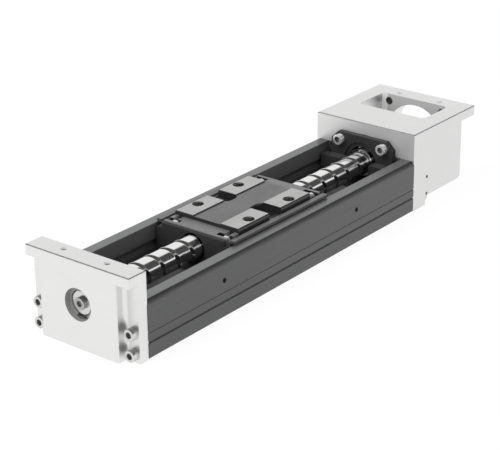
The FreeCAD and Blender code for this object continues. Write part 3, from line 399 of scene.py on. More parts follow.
def blast_grain_group(name):
    """An even, fine speckle, as bead blasting or a moulding leaves it."""
    coarser, pit_share = 0.4, 0.4
    nodes, given, result = new_group("ShaderNodeTree", name, [
        ("Vector", VECTOR, None), ("Scale", FLOAT, None)], [("Shade", FLOAT), ("Height", FLOAT)])
    pits = nodes.add("ShaderNodeTexVoronoi", {"Vector": given["Vector"], "Scale": given["Scale"]},
                     feature="F1").outputs["Distance"]
    cloud = nodes.add("ShaderNodeTexNoise", {
        "Vector": given["Vector"], "Scale": nodes.times(given["Scale"], coarser), "Detail": 4.0,
        "Roughness": 0.65}).outputs[0]
    both = nodes.mixed(pits, cloud, pit_share)
    nodes.feed(result["Shade"], both)
    nodes.feed(result["Height"], both)
    return nodes.tree


def smudge_group(name):
    """Wide soft patches that change the gloss, as handling and oil leave them."""
    faint, full = 0.3, 0.7
    nodes, given, result = new_group("ShaderNodeTree", name, [
        ("Vector", VECTOR, None), ("Scale", FLOAT, 60.0)], [("Shade", FLOAT)])
    cloud = nodes.add("ShaderNodeTexNoise", {
        "Vector": given["Vector"], "Scale": given["Scale"], "Detail": 3.0, "Roughness": 0.55,
        "Distortion": 0.4}).outputs[0]
    nodes.feed(result["Shade"], nodes.soft_step(cloud, faint, full))
    return nodes.tree


def edge_wear_group(name):
    """A mask along edges and a normal that rounds them a little."""
    flat, sharp = 0.995, 0.9
    whole, chipped = 0.35, 0.65
    nodes, given, result = new_group("ShaderNodeTree", name, [
        ("Vector", VECTOR, None), ("Radius", FLOAT, None), ("Breakup", FLOAT, 700.0)],
        [("Mask", FLOAT), ("Normal", VECTOR)])
    rounded = nodes.add("ShaderNodeBevel", {"Radius": given["Radius"]}, samples=4).outputs[0]
    plain = nodes.add("ShaderNodeNewGeometry").outputs["Normal"]
    alike = nodes.add("ShaderNodeVectorMath", {0: rounded, 1: plain}, operation="DOT_PRODUCT")
    edge = nodes.remap(alike.outputs["Value"], 0.0, 1.0, flat, sharp)
    chips = nodes.add("ShaderNodeTexNoise", {
        "Vector": given["Vector"], "Scale": given["Breakup"], "Detail": 3.0}).outputs[0]
    nodes.feed(result["Mask"], nodes.times(edge, nodes.remap(chips, 0.0, 1.0, whole, chipped)))
    nodes.feed(result["Normal"], rounded)
    return nodes.tree


# The shades at which a grain is darkest and lightest, how far worn edges show, how much of the gloss
# follows the grain, and the height of a bump
GRAIN_DARK = 0.3
GRAIN_LIGHT = 0.7
WEAR_SHARE = 0.6
TEXTURE_GLOSS = 0.6
RELIEF = 0.02 * MM


class Finish(Nodes):
    """A material under construction: its shader, its coordinates and its shared effects."""

    def __init__(self, name, turn=0.0):
        self.material = bpy.data.materials.new(name)
        self.material.use_nodes = True
        super().__init__(self.material.node_tree)
        self.tree.nodes.clear()
        self.shader = self.add("ShaderNodeBsdfPrincipled")
        self.add("ShaderNodeOutputMaterial", {"Surface": self.shader.outputs[0]})
        self.place = self.add("ShaderNodeTexCoord").outputs["Object"]
        if turn:
            self.place = self.add("ShaderNodeMapping", {
                "Vector": self.place, "Rotation": (0.0, 0.0, turn)}).outputs[0]

    def effect(self, name, **values):
        """Places a shared effect on the material's coordinates, with the material's own values."""
        node = self.add("ShaderNodeGroup", {"Vector": self.place, **values}, node_tree=shared_tree(name))
        return node.outputs

    def grained(self, shade, tone, contrast, dark=GRAIN_DARK):
        """A colour that a grain makes darker and lighter by a contrast."""
        return self.blend(self.remap(shade, 0.0, 1.0, dark, GRAIN_LIGHT), shaded(tone, 1.0 - contrast),
                          shaded(tone, 1.0 + contrast))

    def set(self, **values):
        """Sets or links the shader's sockets, with underscores for spaces."""
        for label, value in values.items():
            self.feed(self.shader.inputs[label.replace("_", " ")], value)

    def bump(self, height, strength, normal):
        """Raises the surface by a height on top of a rounded normal."""
        node = self.add("ShaderNodeBump", {
            "Height": height, "Strength": strength, "Distance": RELIEF, "Normal": normal})
        self.set(Normal=node.outputs[0])


def surface_finish(name, tone, grain, rough, metallic, contrast=0.12, worn=1.6, edge=0.25, strength=0.12,
                   turn=0.0, specular=0.5, zones=()):
    """A finish with grain, uneven gloss and worn, slightly rounded edges.

    The grain is a shared effect's name and its values. Each zone gives a mask, a colour and how metallic
    the zone is; most zones paint light, shade or reflections into the finish.
    """
    finish = Finish(name, turn)
    texture = finish.effect(grain[0], **grain[1])
    patches = finish.effect("smudges")
    wear = finish.effect("edge_wear", Radius=edge * MM)
    tint = finish.blend(finish.times(wear["Mask"], WEAR_SHARE),
                        finish.grained(texture["Shade"], tone, contrast), shaded(tone, worn))
    for mask_of, zone_tone, zone_metallic in zones:
        mask = mask_of(finish)
        tint = finish.blend(mask, tint, zone_tone)
        if zone_metallic != metallic:
            metallic = finish.remap(mask, metallic, zone_metallic)
    gloss = finish.mixed(texture["Shade"], patches["Shade"], TEXTURE_GLOSS)
    finish.set(Base_Color=tint, Metallic=metallic, Roughness=finish.remap(gloss, *rough),
               Specular_IOR_Level=specular)
    finish.bump(texture["Height"], strength, wear["Normal"])
    return finish.material


def axis_distance(nodes, place):
    """The distance of a place from the ball screw's axis."""
    flat = nodes.add("ShaderNodeCombineXYZ", {
        "Y": place["Y"], "Z": nodes.minus(place["Z"], settings().screw.axis)})
    reach = nodes.add("ShaderNodeVectorMath", {0: flat.outputs[0]}, operation="LENGTH")
    return reach.outputs["Value"]


def painted_lip_bore_light_mask(nodes):
    """One in the mouths of the bores of both lips, found by their distance from the bores' axes, where light
    is painted.
    """
    place = nodes.places()
    flat = nodes.add("ShaderNodeCombineXYZ", {"X": place["X"], "Y": nodes.folded(place["Y"])})
    reaches = []
    for along in (END_LIP_HOLES, FLANGE_LIP_HOLES):
        axis = (along * MM, LIP_HOLES_HALF * MM, 0.0)
        reach = nodes.add("ShaderNodeVectorMath", {0: flat.outputs[0], 1: axis}, operation="DISTANCE")
        reaches.append(reach.outputs["Value"])
    inside = nodes.below(nodes.calc("MINIMUM", *reaches), (LIP_HOLE_RADIUS + SEAM) * MM)
    return nodes.times(inside, nodes.risen(place["Z"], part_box("end_plate")[1].z, LIP_PAINTED_LIGHT_DEPTHS))


def painted_bore_shade_mask(nodes):
    """One on the wall of the end plate's bore, where shade is painted."""
    place = nodes.places()
    low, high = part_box("end_plate")
    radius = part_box("support_bearing_outer_ring")[1].y / MM
    wall = nodes.within(axis_distance(nodes, place), radius - SEAM, radius + END_BORE_REACH)
    return nodes.times(wall, nodes.within(place["X"], low.x / MM + SEAM, high.x / MM))


def painted_flange_shade_mask(nodes):
    """One on both sides of the motor flange, where shade is painted."""
    place = nodes.places()
    low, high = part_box("motor_flange")
    return nodes.times(nodes.above(nodes.folded(place["Y"]), high.y - SEAM * MM),
                       nodes.above(place["X"], low.x))


def flange_front_mask(nodes):
    """One on the motor flange's front where it stands above the rail."""
    place = nodes.places()
    return nodes.times(nodes.near(place["X"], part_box("motor_flange")[0].x / MM),
                       nodes.above(place["Z"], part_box("guide_rail")[1].z))


def painted_window_light_mask(nodes):
    """One on the walls of the motor flange's window, where light is painted."""
    place = nodes.places()
    return nodes.times(nodes.within(place["X"], WINDOW_ALONG[0] - SEAM, WINDOW_ALONG[1] + SEAM),
                       nodes.below(nodes.folded(place["Y"]), (WINDOW_HALF + SEAM) * MM),
                       nodes.below(place["Z"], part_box("motor_flange")[1].z - SEAM * MM))


def painted_window_shade_mask(nodes):
    """One on the end wall of the window and its near corner, but not on the far rounded corner, where shade
    is painted.
    """
    place = nodes.places()
    corner = nodes.times(nodes.below(place["Y"], (WINDOW_ROUND - WINDOW_HALF) * MM),
                         nodes.above(place["X"], (WINDOW_ALONG[1] - WINDOW_ROUND) * MM))
    wall = nodes.most(nodes.near(place["X"], WINDOW_ALONG[1]), corner)
    return nodes.times(wall, nodes.below(place["Y"], (WINDOW_HALF - WINDOW_ROUND) * MM), painted_window_light_mask(nodes))


def painted_slot_shade_mask(nodes):
    """One inside the crosswise slots of both end caps, where shade is painted."""
    place = nodes.places()
    return nodes.times(nodes.within(nodes.folded(place["X"], CARRIAGE_MIDDLE), *CAP_SLOT_ALONG),
                       nodes.within(nodes.folded(place["Y"]), *CAP_SLOT_ACROSS),
                       nodes.below(place["Z"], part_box("near_end_cap")[1].z - SEAM * MM))


def painted_track_shade_mask(nodes):
    """One in the ball screw's track, found by its distance from the screw's axis, where shade is painted."""
    screw = settings().screw
    place = nodes.places()
    inside = nodes.within(axis_distance(nodes, place), screw.root / MM + SEAM,
                          screw.crest / MM - TRACK_RIM)
    return nodes.times(inside, nodes.within(place["X"], screw.start / MM, screw.finish / MM))


def ground_top_and_painted_light_mask(nodes):
    """One on the rail's ground top, made lighter partly for its ground finish and partly as painted light
    from above.
    """
    return nodes.risen(nodes.places()["Z"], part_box("guide_rail")[1].z, RAIL_TOP_DEPTHS)


def painted_edge_light_mask(nodes):
    """One at the foot of the rail's broken top edges, fading out towards the top, where light is painted."""
    place = nodes.places()
    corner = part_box("guide_rail")[1]
    width = RAIL_TOP_EDGE * MM
    foot = corner.z - width
    fade_end = corner.z - 0.3 * width
    return nodes.times(nodes.remap(place["Z"], 1.0, 0.0, foot, fade_end),
                       nodes.above(nodes.folded(place["Y"]), corner.y - width),
                       nodes.above(place["Z"], foot))


def painted_groove_light_mask(nodes):
    """One in the fine grooves along the rail's sides, where light is painted."""
    place = nodes.places()
    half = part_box("guide_rail")[1].y / MM
    found = 0.0
    for low, high, depth in SIDE_GROOVES:
        groove = nodes.times(nodes.within(nodes.folded(place["Y"]), half - depth - SEAM, half - SEAM),
                             nodes.within(place["Z"], low - SEAM, high + SEAM))
        found = nodes.most(found, groove)
    return found


def painted_wall_light_mask(nodes):
    """One on the walls of the rail's channel, where light is painted."""
    place = nodes.places()
    return nodes.times(nodes.near(nodes.folded(place["Y"]), CHANNEL_HALF),
                       nodes.below(place["Z"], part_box("guide_rail")[1].z - SEAM * MM))


def painted_deep_light_mask(nodes):
    """One in the channel below the top of its ball grooves, and on its floor, where light is painted."""
    place = nodes.places()
    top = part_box("left_guide_balls")[1].z / MM
    return nodes.times(nodes.below(nodes.folded(place["Y"]), (CHANNEL_HALF + BALL_GROOVE_REACH) * MM),
                       nodes.within(place["Z"], RAIL_FLOOR - SEAM, top))


# Where the parts of a direction pass from the dark ceiling to the bright surroundings: the top of the low
# band, the wall at the back, the place over the camera, and the sky that the rail doesn't hide
LOW_BAND_TOP = (0.26, 0.36)
BACK_WALL_ALONG = (0.0, 0.25)
BACK_WALL_ACROSS = (-0.12, 0.04)
OVER_CAMERA = (0.0, 0.3)
OVER_RAIL = (0.12, 0.17)


def bright_sky(nodes, way):
    """One towards the bright low band and the bright wall at the back."""
    low_band = nodes.minus(1.0, nodes.soft_step(way["Z"], *LOW_BAND_TOP))
    back_wall = nodes.times(nodes.soft_step(way["X"], *BACK_WALL_ALONG),
                            nodes.soft_step(way["Y"], *BACK_WALL_ACROSS))
    return nodes.most(low_band, back_wall)


def sky_behind(nodes):
    """One where a ray that meets a piece would see the bright sky over the rail behind it."""
    incoming = nodes.add("ShaderNodeNewGeometry").outputs["Incoming"]
    onward = nodes.add("ShaderNodeVectorMath", {0: incoming, "Scale": -1.0}, operation="SCALE")
    way = nodes.split(onward.outputs[0])
    return nodes.times(bright_sky(nodes, way), nodes.soft_step(way["Z"], *OVER_RAIL))


def painted_sky_reflection_mask(nodes):
    """One where a reflection meets a piece that hides bright sky, so the piece shows a painted reflection.
    """
    return nodes.times(nodes.rays()["Is Glossy Ray"], sky_behind(nodes))


def painted_ceiling_reflection_mask(nodes):
    """One where a reflection meets the motor flange's front, which hides dark ceiling, so a painted dark
    reflection shows there.
    """
    dark = nodes.minus(1.0, sky_behind(nodes))
    return nodes.times(nodes.rays()["Is Glossy Ray"], dark, flange_front_mask(nodes))


def ground(scale, stretch):
    """Ground grain of a scale, stretched along one direction."""
    return "ground_grain", {"Scale": scale, "Stretch": stretch}


def blasted(scale):
    """Blasted or moulded grain of a scale."""
    return "blast_grain", {"Scale": scale}


def turned(tone, rough, metallic, contrast, worn, edge):
    """The recipe of a small turned piece."""
    return dict(tone=tone, grain=ground(1200.0, 1.0), rough=rough, metallic=metallic, contrast=contrast,
                worn=worn, edge=edge, strength=0.1)


def finish_recipes(tones):
    """The values of surface_finish for each finish."""
    # Painted reflection: black pieces look light to reflections where they hide bright sky
    sky = (painted_sky_reflection_mask, shaded(tones.mirrored), 0.0)
    return {
        "blackened_rail": dict(
            tone=tones.rail, grain=ground(700.0, 0.015), rough=(0.3, 0.4), metallic=0.7, contrast=0.1,
            worn=1.3, zones=(
                (painted_wall_light_mask, shaded(tones.rail, tones.painted_wall_light_share), 0.3),
                (painted_deep_light_mask, shaded(tones.rail, tones.painted_deep_light_share), 0.0),
                (painted_edge_light_mask, shaded(tones.rail, tones.painted_edge_light_share), 0.1),
                (painted_groove_light_mask, shaded(tones.rail, tones.painted_groove_light_share), 0.1),
                (ground_top_and_painted_light_mask, shaded(tones.rail, tones.painted_top_light_share), 0.7))),
        "blasted_aluminium": dict(
            tone=tones.aluminium, grain=ground(420.0, 0.06), rough=(0.33, 0.42), metallic=1.0,
            contrast=0.012, worn=1.0, edge=0.35, strength=0.05, turn=QUARTER_TURN, zones=(
                (painted_flange_shade_mask, shaded(tones.aluminium, tones.painted_flange_shade_share), 1.0),
                (flange_front_mask, shaded(tones.aluminium), 0.5),
                # Painted reflection: the flange's front shows dark to reflections where it hides the dark
                # ceiling
                (painted_ceiling_reflection_mask, shaded(tones.housing), 0.0),
                (painted_bore_shade_mask, shaded(tones.aluminium, tones.painted_bore_shade_share), 0.3),
                # Painted light on the window's walls
                (painted_window_light_mask, shaded(tones.painted_hollow_light), 0.0),
                (painted_window_shade_mask, shaded(tones.aluminium, tones.painted_window_shade_share), 0.1),
                # Painted light in the mouths of the lip bores
                (painted_lip_bore_light_mask, shaded(tones.painted_hollow_light), 0.0))),
        "black_housing": dict(
            tone=tones.housing, grain=blasted(2500.0), rough=(0.25, 0.4), metallic=0.0, worn=3.0,
            specular=0.3, zones=(sky,)),
        "black_rubber": dict(
            tone=tones.rubber, grain=blasted(1400.0), rough=(0.5, 0.7), metallic=0.0, contrast=0.25,
            worn=2.0, strength=0.3, specular=0.4, zones=(sky,)),
        "grey_plastic": dict(
            tone=tones.caps, grain=blasted(1800.0), rough=(0.35, 0.5), metallic=0.0, worn=1.3,
            zones=((painted_slot_shade_mask, shaded(tones.caps, tones.painted_slot_shade_share), 0.0),)),
        "polished_steel": dict(
            tone=tones.polished, grain=ground(1500.0, 6.0), rough=(0.08, 0.16), metallic=1.0,
            contrast=0.03, worn=1.1, edge=0.1, strength=0.05,
            zones=((painted_track_shade_mask, shaded(tones.polished, tones.painted_track_shade_share), 1.0),)),
        "plated_steel": turned(tones.plated, (0.14, 0.26), 1.0, contrast=0.06, worn=1.2, edge=0.12),
        "bright_steel": turned(tones.bright, (0.35, 0.45), 0.3, contrast=0.04, worn=1.1, edge=0.12),
        "nickel_steel": turned(tones.bright, (0.2, 0.3), 0.65, contrast=0.04, worn=1.1, edge=0.12),
        "bearing_steel_ring": turned(tones.bearing, (0.2, 0.32), 1.0, contrast=0.08, worn=1.3, edge=0.1),
        "spring_steel": turned(tones.spring, (0.35, 0.45), 0.3, contrast=0.08, worn=1.2, edge=0.1),
        # Painted shade inside sockets and the motor holes
        "dark_socket": dict(
            tone=tones.socket, grain=blasted(2500.0), rough=(0.4, 0.55), metallic=0.8, contrast=0.2,
            worn=1.5, edge=0.08),
        "steel_strip": dict(
            tone=tones.strip, grain=ground(900.0, 0.02), rough=(0.3, 0.45), metallic=0.5, contrast=0.15,
            worn=1.5),
    }


def carriage_finish(name, tones):
    """Black steel with bright ground pads and a grey recess, with painted light on the sides' top band and
    the ledges' outer part, told apart by place and facing.
    """
    sideways, upwards = 0.6, 0.9
    worn, wear_share, step_dark = 2.0, 0.4, 0.2
    step_contrast, recess_contrast, pad_contrast = 0.15, 0.07, 0.06
    step_metallic, step_rough, pad_rough, uneven = 0.6, 0.34, 0.42, 0.04
    finish = Finish(name)
    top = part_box("carriage_block")[1].z
    texture = finish.effect("ground_grain", Scale=1100.0, Stretch=0.03)
    black = finish.effect("blast_grain", Scale=2200.0)
    patches = finish.effect("smudges", Scale=90.0)
    wear = finish.effect("edge_wear", Radius=0.2 * MM)
    place = finish.places()
    facing = finish.split(finish.add("ShaderNodeTexCoord").outputs["Normal"])
    pad_zone = finish.risen(place["Z"], top, PAD_DEPTHS)
    recess_zone = finish.risen(place["Z"], top, RECESS_DEPTHS)
    side_zone = finish.minus(1.0, recess_zone)
    # Painted light: the top band of the sideways faces and the outer part of the upward-facing ledges
    edge_zone = finish.times(finish.above(finish.folded(facing["Y"]), sideways),
                             finish.risen(place["Z"], top, LIT_EDGE_DEPTHS))
    ledge_zone = finish.times(
        finish.above(facing["Z"], upwards),
        finish.remap(finish.folded(place["Y"]), 0.0, 1.0, *(across * MM for across in LEDGE_ACROSS)))
    tint = finish.blend(finish.times(wear["Mask"], wear_share),
                        finish.grained(black["Shade"], tones.steps, step_contrast, step_dark),
                        shaded(tones.steps, worn))
    tint = finish.blend(finish.most(edge_zone, ledge_zone), tint, shaded(tones.ledge))
    tint = finish.blend(recess_zone, tint,
                        finish.grained(texture["Shade"], tones.carriage, recess_contrast))
    tint = finish.blend(pad_zone, tint, finish.grained(texture["Shade"], tones.pads, pad_contrast))
    gloss = finish.plus(finish.remap(pad_zone, step_rough, pad_rough),
                        finish.remap(patches["Shade"], -uneven, uneven))
    finish.set(Base_Color=tint, Metallic=finish.remap(recess_zone, step_metallic, 1.0), Roughness=gloss)
    relief = finish.plus(finish.times(texture["Height"], recess_zone),
                         finish.times(black["Height"], side_zone))
    finish.bump(relief, strength=0.1, normal=wear["Normal"])
    return finish.material


def finish_of(name):
    """A named finish of the slide, built at its first use."""
    existing = bpy.data.materials.get(name)
    if existing:
        return existing
    tones = settings().finishes
    if name == "carriage_steel_finish":
        return carriage_finish(name, tones)
    return surface_finish(name, **finish_recipes(tones)[name])


def dress(names, finish):
    """Gives CAD nodes a finish."""
    for name in names:
        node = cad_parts[name]
        node.data.materials.clear()
        node.data.materials.append(finish_of(finish))


def add_piece(name, mesh, body, slot, replaced=()):
    """A finished piece in the scene that rides on a body and stands for CAD nodes."""
    piece = link_object(name, mesh)
    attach(piece, body)
    if replaced:
        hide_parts(*replaced)


def grown_mesh(name, points, tree, values):
    """The plain mesh that a geometry node tree makes on loose points, with named inputs."""
    base = bpy.data.meshes.new(name + "_points")
    base.from_pydata(points, [], [])
    holder = link_object(name + "_holder", base)
    modifier = holder.modifiers.new("grow", "NODES")
    modifier.node_group = tree
    for item in tree.interface.items_tree:
        if item.item_type == "SOCKET" and item.in_out == "INPUT" and item.name in values:
            modifier[item.identifier] = values[item.name]
    depsgraph = bpy.context.evaluated_depsgraph_get()
    mesh = bpy.data.meshes.new_from_object(holder.evaluated_get(depsgraph), depsgraph=depsgraph)
    mesh.name = name
    holder.modifiers.remove(modifier)
    bpy.data.objects.remove(holder)
    if not mesh.polygons:
        raise RuntimeError("the node tree made no faces for " + name)
    return mesh


def smooth(mesh, sharp):
    """Smooth shading with edges kept sharp that turn by more than an angle in degrees."""
    mesh.shade_smooth()
    mesh.set_sharp_from_angle(angle=math.radians(sharp))


def dressed(nodes, geometry, material):
    """A geometry with its instances made real and its finish set, as every tree ends."""
    real = nodes.add("GeometryNodeRealizeInstances", {"Geometry": geometry}).outputs[0]
    return nodes.add("GeometryNodeSetMaterial", {"Geometry": real, "Material": material}).outputs[0]


def ball_track_tree(name):
    """The ball screw's thread: a grid sheared along the helix, pressed into the section of the track."""
    track_blend, lip_blend, merge = 0.08 * MM, 0.12 * MM, 0.002 * MM
    nodes, value, result = new_group("GeometryNodeTree", name, [
        ("Geometry", GEOMETRY, None), ("Crest", FLOAT, None), ("Groove", FLOAT, None),
        ("Ball Circle", FLOAT, None), ("Lead", FLOAT, None), ("Start", FLOAT, None),
        ("Finish", FLOAT, None), ("Track Begin", FLOAT, None), ("Lip", FLOAT, None),
        ("Axis Height", FLOAT, None), ("Steps", FLOAT, 40.0), ("Sides", "NodeSocketInt", 72),
        ("Crowding", FLOAT, 0.6), ("Material", MATERIAL, None)], [("Geometry", GEOMETRY)])
    calc, times, plus, minus = nodes.calc, nodes.times, nodes.plus, nodes.minus
    crest, groove, lead, begin = value["Crest"], value["Groove"], value["Lead"], value["Track Begin"]

    # Steps along the screw, counted in whole turns of the track from before the thread's start
    turns_before = calc("FLOOR", minus(calc("DIVIDE", minus(value["Start"], begin), lead), 1.0))
    origin = times(turns_before, lead)
    span = minus(minus(value["Finish"], begin), origin)
    count = calc("CEIL", calc("DIVIDE", times(span, value["Steps"]), lead))
    grid = nodes.add("GeometryNodeMeshGrid", {
        "Size X": 1.0, "Size Y": 1.0, "Vertices X": plus(count, 1.0),
        "Vertices Y": plus(value["Sides"], 1.0)})
    spot = nodes.split(nodes.add("GeometryNodeInputPosition").outputs[0])
    step = times(plus(spot["X"], 0.5), count)
    turn = plus(spot["Y"], 0.5)

    # Places along the screw, crowded towards the track and kept between the thread's ends
    travel = times(calc("DIVIDE", step, value["Steps"]), lead)
    phase = times(calc("DIVIDE", travel, lead), FULL_TURN)
    crowd = times(value["Crowding"], calc("SINE", phase), calc("DIVIDE", lead, FULL_TURN))
    free = plus(plus(begin, times(lead, turn)), plus(origin, minus(travel, crowd)))
    kept = calc("MINIMUM", nodes.most(free, value["Start"]), value["Finish"])

    # The section: lands, round track with broken edges, and a bevel at both ends
    offset = minus(minus(kept, begin), times(lead, turn))
    half = times(lead, 0.5)
    across = calc("ABSOLUTE", calc("WRAP", offset, half, times(half, -1.0)))
    inside = nodes.most(minus(times(groove, groove), times(across, across)), 0.0)
    track = minus(value["Ball Circle"], calc("SQRT", inside))
    cut = calc("SMOOTH_MIN", crest, track, track_blend)
    broken = plus(minus(crest, value["Lip"]), minus(across, groove))
    radius = calc("SMOOTH_MIN", cut, broken, lip_blend)
    for end in (minus(kept, value["Start"]), minus(value["Finish"], kept)):
        bevel = plus(minus(crest, times(value["Lip"], 2.0)), end)
        radius = calc("MINIMUM", radius, bevel)

    # The section's radius turned about the axis, starting at the top
    swing = plus(times(turn, FULL_TURN), QUARTER_TURN)
    moved = nodes.add("ShaderNodeCombineXYZ", {
        "X": kept, "Y": times(radius, calc("COSINE", swing)),
        "Z": plus(value["Axis Height"], times(radius, calc("SINE", swing)))})
    thread = nodes.add("GeometryNodeSetPosition", {
        "Geometry": grid.outputs["Mesh"], "Position": moved.outputs[0]})
    merged = nodes.add("GeometryNodeMergeByDistance", {"Geometry": thread.outputs[0], "Distance": merge})
    nodes.feed(result["Geometry"], dressed(nodes, merged.outputs[0], value["Material"]))
    return nodes.tree


def turn_ends(mesh, axis, profiles):
    """Closes a thread's open ends with turned steps: each profile is a list of places and radii."""
    end_reach = 0.01 * MM
    work = bmesh.new()
    work.from_mesh(mesh)
    bmesh.ops.dissolve_degenerate(work, dist=TINY, edges=work.edges[:])
    for at, profile in profiles:
        loop = [edge for edge in work.edges if edge.is_boundary
                and all(abs(vert.co.x - at) < end_reach for vert in edge.verts)]
        if not loop:
            raise RuntimeError("the thread has no open end at %.4f" % at)
        for place, radius in profile:
            grown = bmesh.ops.extrude_edge_only(work, edges=loop)["geom"]
            loop = [item for item in grown if isinstance(item, bmesh.types.BMEdge)]
            for vert in {vert for edge in loop for vert in edge.verts}:
                share = radius / math.hypot(vert.co.y, vert.co.z - axis)
                vert.co = (place, vert.co.y * share, axis + (vert.co.z - axis) * share)
        bmesh.ops.pointmerge(work, verts=list({vert for edge in loop for vert in edge.verts}),
                             merge_co=(profile[-1][0], 0.0, axis))
    bmesh.ops.recalc_face_normals(work, faces=work.faces[:])
    work.to_mesh(mesh)
    work.free()


def ring_mesh(name, rings, sides):
    """A closed solid of rings from a first pole to a last pole; a ring gives a place and a radius rule."""
    work = bmesh.new()
    rows = []
    for place, rule in rings:
        rows.append([work.verts.new((place, rule(step) * math.cos(FULL_TURN * step / sides),
                                     rule(step) * math.sin(FULL_TURN * step / sides)))
                     for step in range(sides)])
    for low, high in zip(rows, rows[1:]):
        for step in range(sides):
            after = (step + 1) % sides
            work.faces.new((low[step], low[after], high[after], high[step]))
    for row, place in ((rows[0], rings[0][0]), (rows[-1], rings[-1][0])):
        pole = work.verts.new((place, 0.0, 0.0))
        for step in range(sides):
            work.faces.new((row[step], row[(step + 1) % sides], pole))
    bmesh.ops.recalc_face_normals(work, faces=work.faces[:])
    mesh = bpy.data.meshes.new(name)
    work.to_mesh(mesh)
    work.free()
    return mesh


# Shares of a socket screw's sizes that shape it: the cone under the socket, the socket's floor, lead-in
# and mouth, the head's rim, the span of its knurl, its foot, the pointed end of the shank, and the part
# that counts as the inside of the socket
SOCKET_CONE = (1.12, 0.35)
SOCKET_FLOOR = 0.98
SOCKET_LEAD_IN = 0.12
SOCKET_MOUTH = 1.24
HEAD_RIM = 0.1
KNURL_SPAN = (1.15, 0.9)
HEAD_FOOT = 0.95
SHANK_POINT = (0.4, 0.65)
SOCKET_INSIDE = (0.03, 1.2)

# Steps round the rim, sides of a screw, and angles in degrees: from which an edge stays sharp, and
# between the hexagon's corners
RIM_STEPS = 4
SCREW_SIDES = 48
SCREW_CREASE = 28.0
HEXAGON_STEP = 60.0


def socket_screw_mesh(name, head, height, shank, reach, socket, depth):
    """A socket head screw along X, its head's face at zero: hexagon, rounded rim, knurled side, shank."""
    knurl = settings().fasteners.knurl
    rim = HEAD_RIM * head

    def round_ring(radius):
        return lambda step: radius

    def hexagon(scale=1.0):
        def rule(step):
            turn = (360.0 * step / SCREW_SIDES + HEXAGON_STEP / 2) % HEXAGON_STEP - HEXAGON_STEP / 2
            return scale * socket / math.cos(math.radians(turn))
        return rule

    def knurled(step):
        return head * (1.0 - knurl * (step % 2))

    rings = [(depth * SOCKET_CONE[0], hexagon(SOCKET_CONE[1])), (depth, hexagon(SOCKET_FLOOR)),
             (SOCKET_LEAD_IN * depth, hexagon()), (0.0, round_ring(socket * SOCKET_MOUTH))]
    for step in range(RIM_STEPS + 1):
        bend = QUARTER_TURN * step / RIM_STEPS
        rings.append((rim * (1.0 - math.cos(bend)), round_ring(head - rim + rim * math.sin(bend))))
    rings += [(rim * KNURL_SPAN[0], knurled), (height * KNURL_SPAN[1], knurled),
              (height, round_ring(head * HEAD_FOOT)), (height, round_ring(shank)),
              (height + reach - SHANK_POINT[0] * shank, round_ring(shank)),
              (height + reach, round_ring(shank * SHANK_POINT[1]))]
    mesh = ring_mesh(name, rings, SCREW_SIDES)
    smooth(mesh, SCREW_CREASE)
    inside = mesh.attributes.new("socket", "BOOLEAN", "FACE")
    first, last = SOCKET_INSIDE
    for face in mesh.polygons:
        inside.data[face.index].value = (first * depth < face.center.x < last * depth
                                         and math.hypot(face.center.y, face.center.z) < last * socket)
    return mesh


def screw_pattern_tree(name):
    """Sets a screw on every point of a mesh, each turned a little further than the one before."""
    nodes, given, result = new_group("GeometryNodeTree", name, [
        ("Geometry", GEOMETRY, None), ("Screw", "NodeSocketObject", None), ("Turn", FLOAT, 0.0),
        ("Twist", FLOAT, 0.35), ("Material", MATERIAL, None), ("Socket Material", MATERIAL, None)],
        [("Geometry", GEOMETRY)])
    shape = nodes.add("GeometryNodeObjectInfo", {"Object": given["Screw"]})
    order = nodes.add("GeometryNodeInputIndex").outputs[0]
    angles = nodes.add("ShaderNodeCombineXYZ", {
        "X": nodes.times(nodes.plus(order, 1.0), given["Twist"]), "Z": given["Turn"]})
    copies = nodes.add("GeometryNodeInstanceOnPoints", {
        "Points": given["Geometry"], "Instance": shape.outputs["Geometry"], "Rotation": angles.outputs[0]})
    inside = nodes.add("GeometryNodeInputNamedAttribute", {"Name": "socket"}, data_type="BOOLEAN")
    darkened = nodes.add("GeometryNodeSetMaterial", {
        "Geometry": dressed(nodes, copies.outputs[0], given["Material"]),
        "Selection": inside.outputs["Attribute"], "Material": given["Socket Material"]})
    nodes.feed(result["Geometry"], darkened.outputs[0])
    return nodes.tree


def tapped_thread_tree(name):
    """Thread ridges in a tapped hole: a spiral with a small three-sided section on every point."""
    nodes, given, result = new_group("GeometryNodeTree", name, [
        ("Geometry", GEOMETRY, None), ("Radius", FLOAT, None), ("Pitch", FLOAT, None),
        ("Depth", FLOAT, None), ("Ridge", FLOAT, None), ("Tilt", VECTOR, None),
        ("Material", MATERIAL, None)], [("Geometry", GEOMETRY)])
    spiral = nodes.add("GeometryNodeCurveSpiral", {
        "Resolution": 20, "Rotations": nodes.calc("DIVIDE", given["Depth"], given["Pitch"]),
        "Start Radius": given["Radius"], "End Radius": given["Radius"], "Height": given["Depth"]})
    section = nodes.add("GeometryNodeCurvePrimitiveCircle", {"Resolution": 3, "Radius": given["Ridge"]})
    ridge = nodes.add("GeometryNodeCurveToMesh", {
        "Curve": spiral.outputs[0], "Profile Curve": section.outputs[0], "Fill Caps": True})
    copies = nodes.add("GeometryNodeInstanceOnPoints", {
        "Points": given["Geometry"], "Instance": ridge.outputs[0], "Rotation": given["Tilt"]})
    nodes.feed(result["Geometry"], dressed(nodes, copies.outputs[0], given["Material"]))
    return nodes.tree


TREE_BUILDERS = {
    "ground_grain": ground_grain_group, "blast_grain": blast_grain_group, "smudges": smudge_group,
    "edge_wear": edge_wear_group, "ball_track_thread": ball_track_tree,
    "screw_pattern": screw_pattern_tree, "tapped_thread": tapped_thread_tree,
}


def shared_tree(name):
    """A named node tree of the slide, built at its first use."""
    return bpy.data.node_groups.get(name) or TREE_BUILDERS[name](name)


